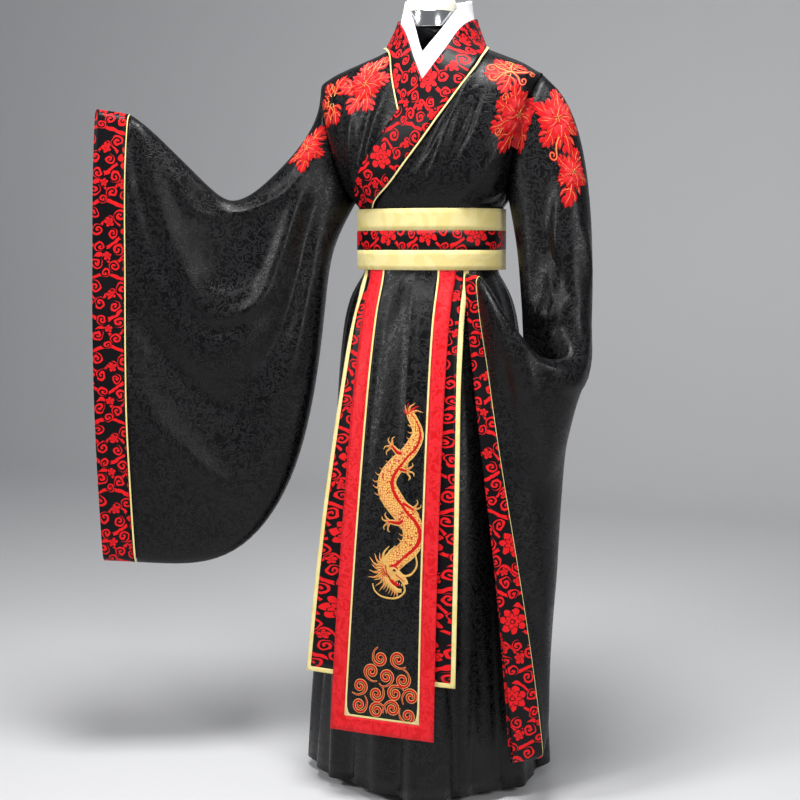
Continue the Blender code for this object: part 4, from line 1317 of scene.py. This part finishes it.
def flame(work, x, y, angle, length, width, colour=GOLD):
    """A pointed tongue, as on the crest, mane and tail."""
    way = Vector((math.cos(angle), math.sin(angle)))
    side = Vector((-way.y, way.x))
    root = Vector((x, y))
    path = [root, root + way * length * 0.5 + side * length * 0.16, root + way * length]
    work.strip(path, taper(width, 0.4), colour, 0.4)
    work.strip(path[:2] + [root.lerp(path[2], 0.8)], taper(width * 0.45, 0.3), RED, 1.3, across=2)


print("spine, girth, claws and flames ready")

# %% [markdown]
# ## The dragon's head
# Small as it is, the head needs its parts in the right order from cloth to viewer: mane and
# skull first, then jaws, mouth and horns, and the eye on top. A table of strips keeps each
# part where it can be read and moved.

# %% The head
# name: points from the head's middle in millimetres, width, thread, layer, strips across
HEAD_SHAPES = {
    "skull": (((-20, 16), (-6, 4), (8, -10), (14, -24)), taper(34, 22), GOLD, 1.0, 6),
    "upper jaw": (((2, -2), (18, -12), (30, -20), (35, -30)), taper(17, 13), CREAM, 1.8, 4),
    "lower jaw": (((-12, -18), (2, -33), (16, -42), (27, -42)), taper(11, 7), GOLD, 1.8, 4),
    "mouth": (((-2, -22), (10, -29), (22, -33)), leaf_width(9), RED, 2.2, 4),
    "nostril": (((27, -17), (31, -13), (36, -17)), leaf_width(6), GOLD, 3.0, 4),
    "eye": (((1, -4), (8, -2), (15, -7)), leaf_width(10), CREAM, 3.4, 4),
    "pupil": (((5, -4.5), (8.5, -3.6), (12, -5.6)), leaf_width(5.5), DARK, 4.6, 4),
    "brow": (((-4, 2), (6, 5), (17, -1)), leaf_width(5.5), RED, 3.6, 4),
    "cheek": (((-12, 4), (-8, -10), (1, -20)), taper(3.2, 1.2), RED, 3.4, 2),
    "back of the cheek": (((-16, -2), (-12, -12), (-6, -19)), taper(2.6, 1.0), RED, 3.4, 2),
    "lip": (((12, -12), (22, -18), (33, -24)), taper(2.2, 1.4), RED, 3.6, 2),
    "near horn": (((-10, 14), (-6, 29), (8, 44)), taper(7, 1.6), GOLD, 2.0, 4),
    "far horn": (((-18, 14), (-17, 28), (-6, 42)), taper(7, 1.6), GOLD, 2.0, 4),
    "upper whisker": (
        ((33, -14), (46, -8), (56, 10), (50, 34), (38, 54), (40, 62)), taper(4.6, 2.4), GOLD, 0.8, 4),
    "lower whisker": (
        ((30, -24), (34, -44), (14, -58), (-14, -58), (-32, -48), (-38, -34)), taper(4.6, 2.4), GOLD, 0.8, 4),
}
MANE_LOCKS = 9
TEETH = 4
BEARD_LOCKS = 6


def dragon_head(work, x, y):
    """A generic dragon's head in profile, looking to the right and down."""
    for number in range(MANE_LOCKS):
        angle = math.radians(118 + number * 17)
        length = 26 + 5 * (number % 3)
        flame(work, x - 12 + 5 * math.cos(angle), y - 4 + 10 * math.sin(angle), angle, length, 8)
    for points, width, thread, layer, across in HEAD_SHAPES.values():
        path = [(x + right, y + up) for right, up in points]
        work.strip(path, width, thread, layer, across=across)
    for number in range(TEETH):
        root = Vector((x + 10 + 5.5 * number, y - 23 - 2.2 * number))
        work.strip([root, root + Vector((1, -5))], taper(2.6, 0.4), CREAM, 3.0, across=2)
    for number in range(BEARD_LOCKS):
        angle = math.radians(255 + 5 * number)
        flame(work, x - 10 + 4.5 * number, y - 28 - 3 * number, angle, 17, 5)


print(len(HEAD_SHAPES), "shapes in the head")

# %% [markdown]
# ## The whole dragon
# A gold strip a little wider than the body makes its outline, the scales lie on that, and a
# red belly runs along one side. Crest, tail, legs and head follow.

# %% The whole dragon
SPINE_STEPS = 24
TAIL_TONGUES = 6
# share of the way from tail to neck, angle in degrees and reach in millimetres
LEGS = ((0.27, 158, 34), (0.40, 12, 36), (0.68, 196, 38), (0.60, -10, 36))


def embroider_dragon():
    """Body, belly, crest, tail, legs and head, in that order."""
    work = Embroidery([pieces["front_panel"]], 400, 508, 406, 420)
    spine = [dragon_spine(number / SPINE_STEPS) for number in range(SPINE_STEPS + 1)]
    work.strip(spine, lambda share: dragon_girth(share) + 4.5, GOLD, 0.4, steps=3, across=6)
    work.strip(spine, dragon_girth, SCALES, 1.4, steps=3, across=6)
    belly = [(x + 0.30 * dragon_girth(n / SPINE_STEPS), y) for n, (x, y) in enumerate(spine)]
    work.strip(belly, lambda share: 0.26 * dragon_girth(share), RED, 2.2, steps=3, across=2)
    for number in range(2, SPINE_STEPS):
        x, y = spine[number]
        girth = dragon_girth(number / SPINE_STEPS)
        angle = math.radians(160 + 12 * (number % 2))
        flame(work, x - 0.5 * girth, y, angle, 6 + 0.22 * girth, 4.5)
    x, y = spine[0]
    for number in range(TAIL_TONGUES):
        angle = math.radians(10 + 28 * number)
        flame(work, x, y - 2, angle, 30 - 2 * number, 7, RED if number % 2 else GOLD)
    for share, angle, reach in LEGS:
        claw_foot(work, *dragon_spine(share), math.radians(angle), reach)
    x, y = spine[-1]
    dragon_head(work, x + 4, y - 4)
    return work.finish("panel_dragon")


stitched["front_panel"].append(embroider_dragon())
print("dragon with", len(LEGS), "legs")

# %% [markdown]
# ## Clouds under the dragon
# Each cloud is one spiral with a short tail. Its turn, first angle and place change from cloud
# to cloud by sines, so that no two beside each other are alike.

# %% The clouds
CLOUD_ROWS = (2, 3, 4, 4)
CLOUD_PITCH = 35.5
CLOUD_ROW_DROP = 33.0
CLOUD_STEPS = 21
CLOUD_TURNS = 1.7
CLOUD_TAIL = 0.9


def cloud_path(x, y, way, first):
    """A spiral from its centre out, which leaves its circle near the end."""
    path = []
    for step in range(CLOUD_STEPS + 1):
        share = step / CLOUD_STEPS
        angle = way * (share * math.tau * CLOUD_TURNS) + first
        tail = max(share - CLOUD_TAIL, 0) / (1 - CLOUD_TAIL)
        reach = 1.5 + 15.5 * share + 5 * tail
        path.append((x + reach * math.cos(angle), y + reach * math.sin(angle)))
    return path


def embroider_clouds():
    """Rows of spiral clouds, red between gold edges, each with a short tail."""
    work = Embroidery([pieces["front_panel"]], 386, 686, 394, 600)
    for row, count in enumerate(CLOUD_ROWS):
        for number in range(count):
            x = (number - (count - 1) / 2) * CLOUD_PITCH + 2.5 * math.sin(row * 2.1 + number * 1.7)
            y = 52 - row * CLOUD_ROW_DROP + 5 * math.sin(number * 2.4 + row)
            path = cloud_path(x, y, 1 if (row + number) % 2 else -1, row + number * 1.3)
            for width, narrowing, thread, layer in ((6.6, 4.2, CREAM, 0.3), (4.4, 3.0, RED, 1.3)):
                work.strip(path, lambda share: width - narrowing * max(share - 0.8, 0) / 0.2,
                           thread, layer, steps=2, across=2)
    return work.finish("panel_clouds")


stitched["front_panel"].append(embroider_clouds())
print(sum(CLOUD_ROWS), "clouds")

# %% [markdown]
# ## The edgings
# Each piping and binding is listed with the piece of cloth that it edges, next to the
# embroidery on that piece.


EDGINGS = {
    "sleeve_right": ["cuff_piping_right"],
    "sleeve_left": ["cuff_piping_left"],
    "collar": ["collar_piping"],
    "under_panel": ["under_panel_binding"],
    "front_panel": ["front_panel_piping"],
}
for node, edgings in EDGINGS.items():
    stitched[node] += [pieces[edging] for edging in edgings]

# %% [markdown]
# ## The end
# A last print closes the script.

# %% Finish
print("script finished")
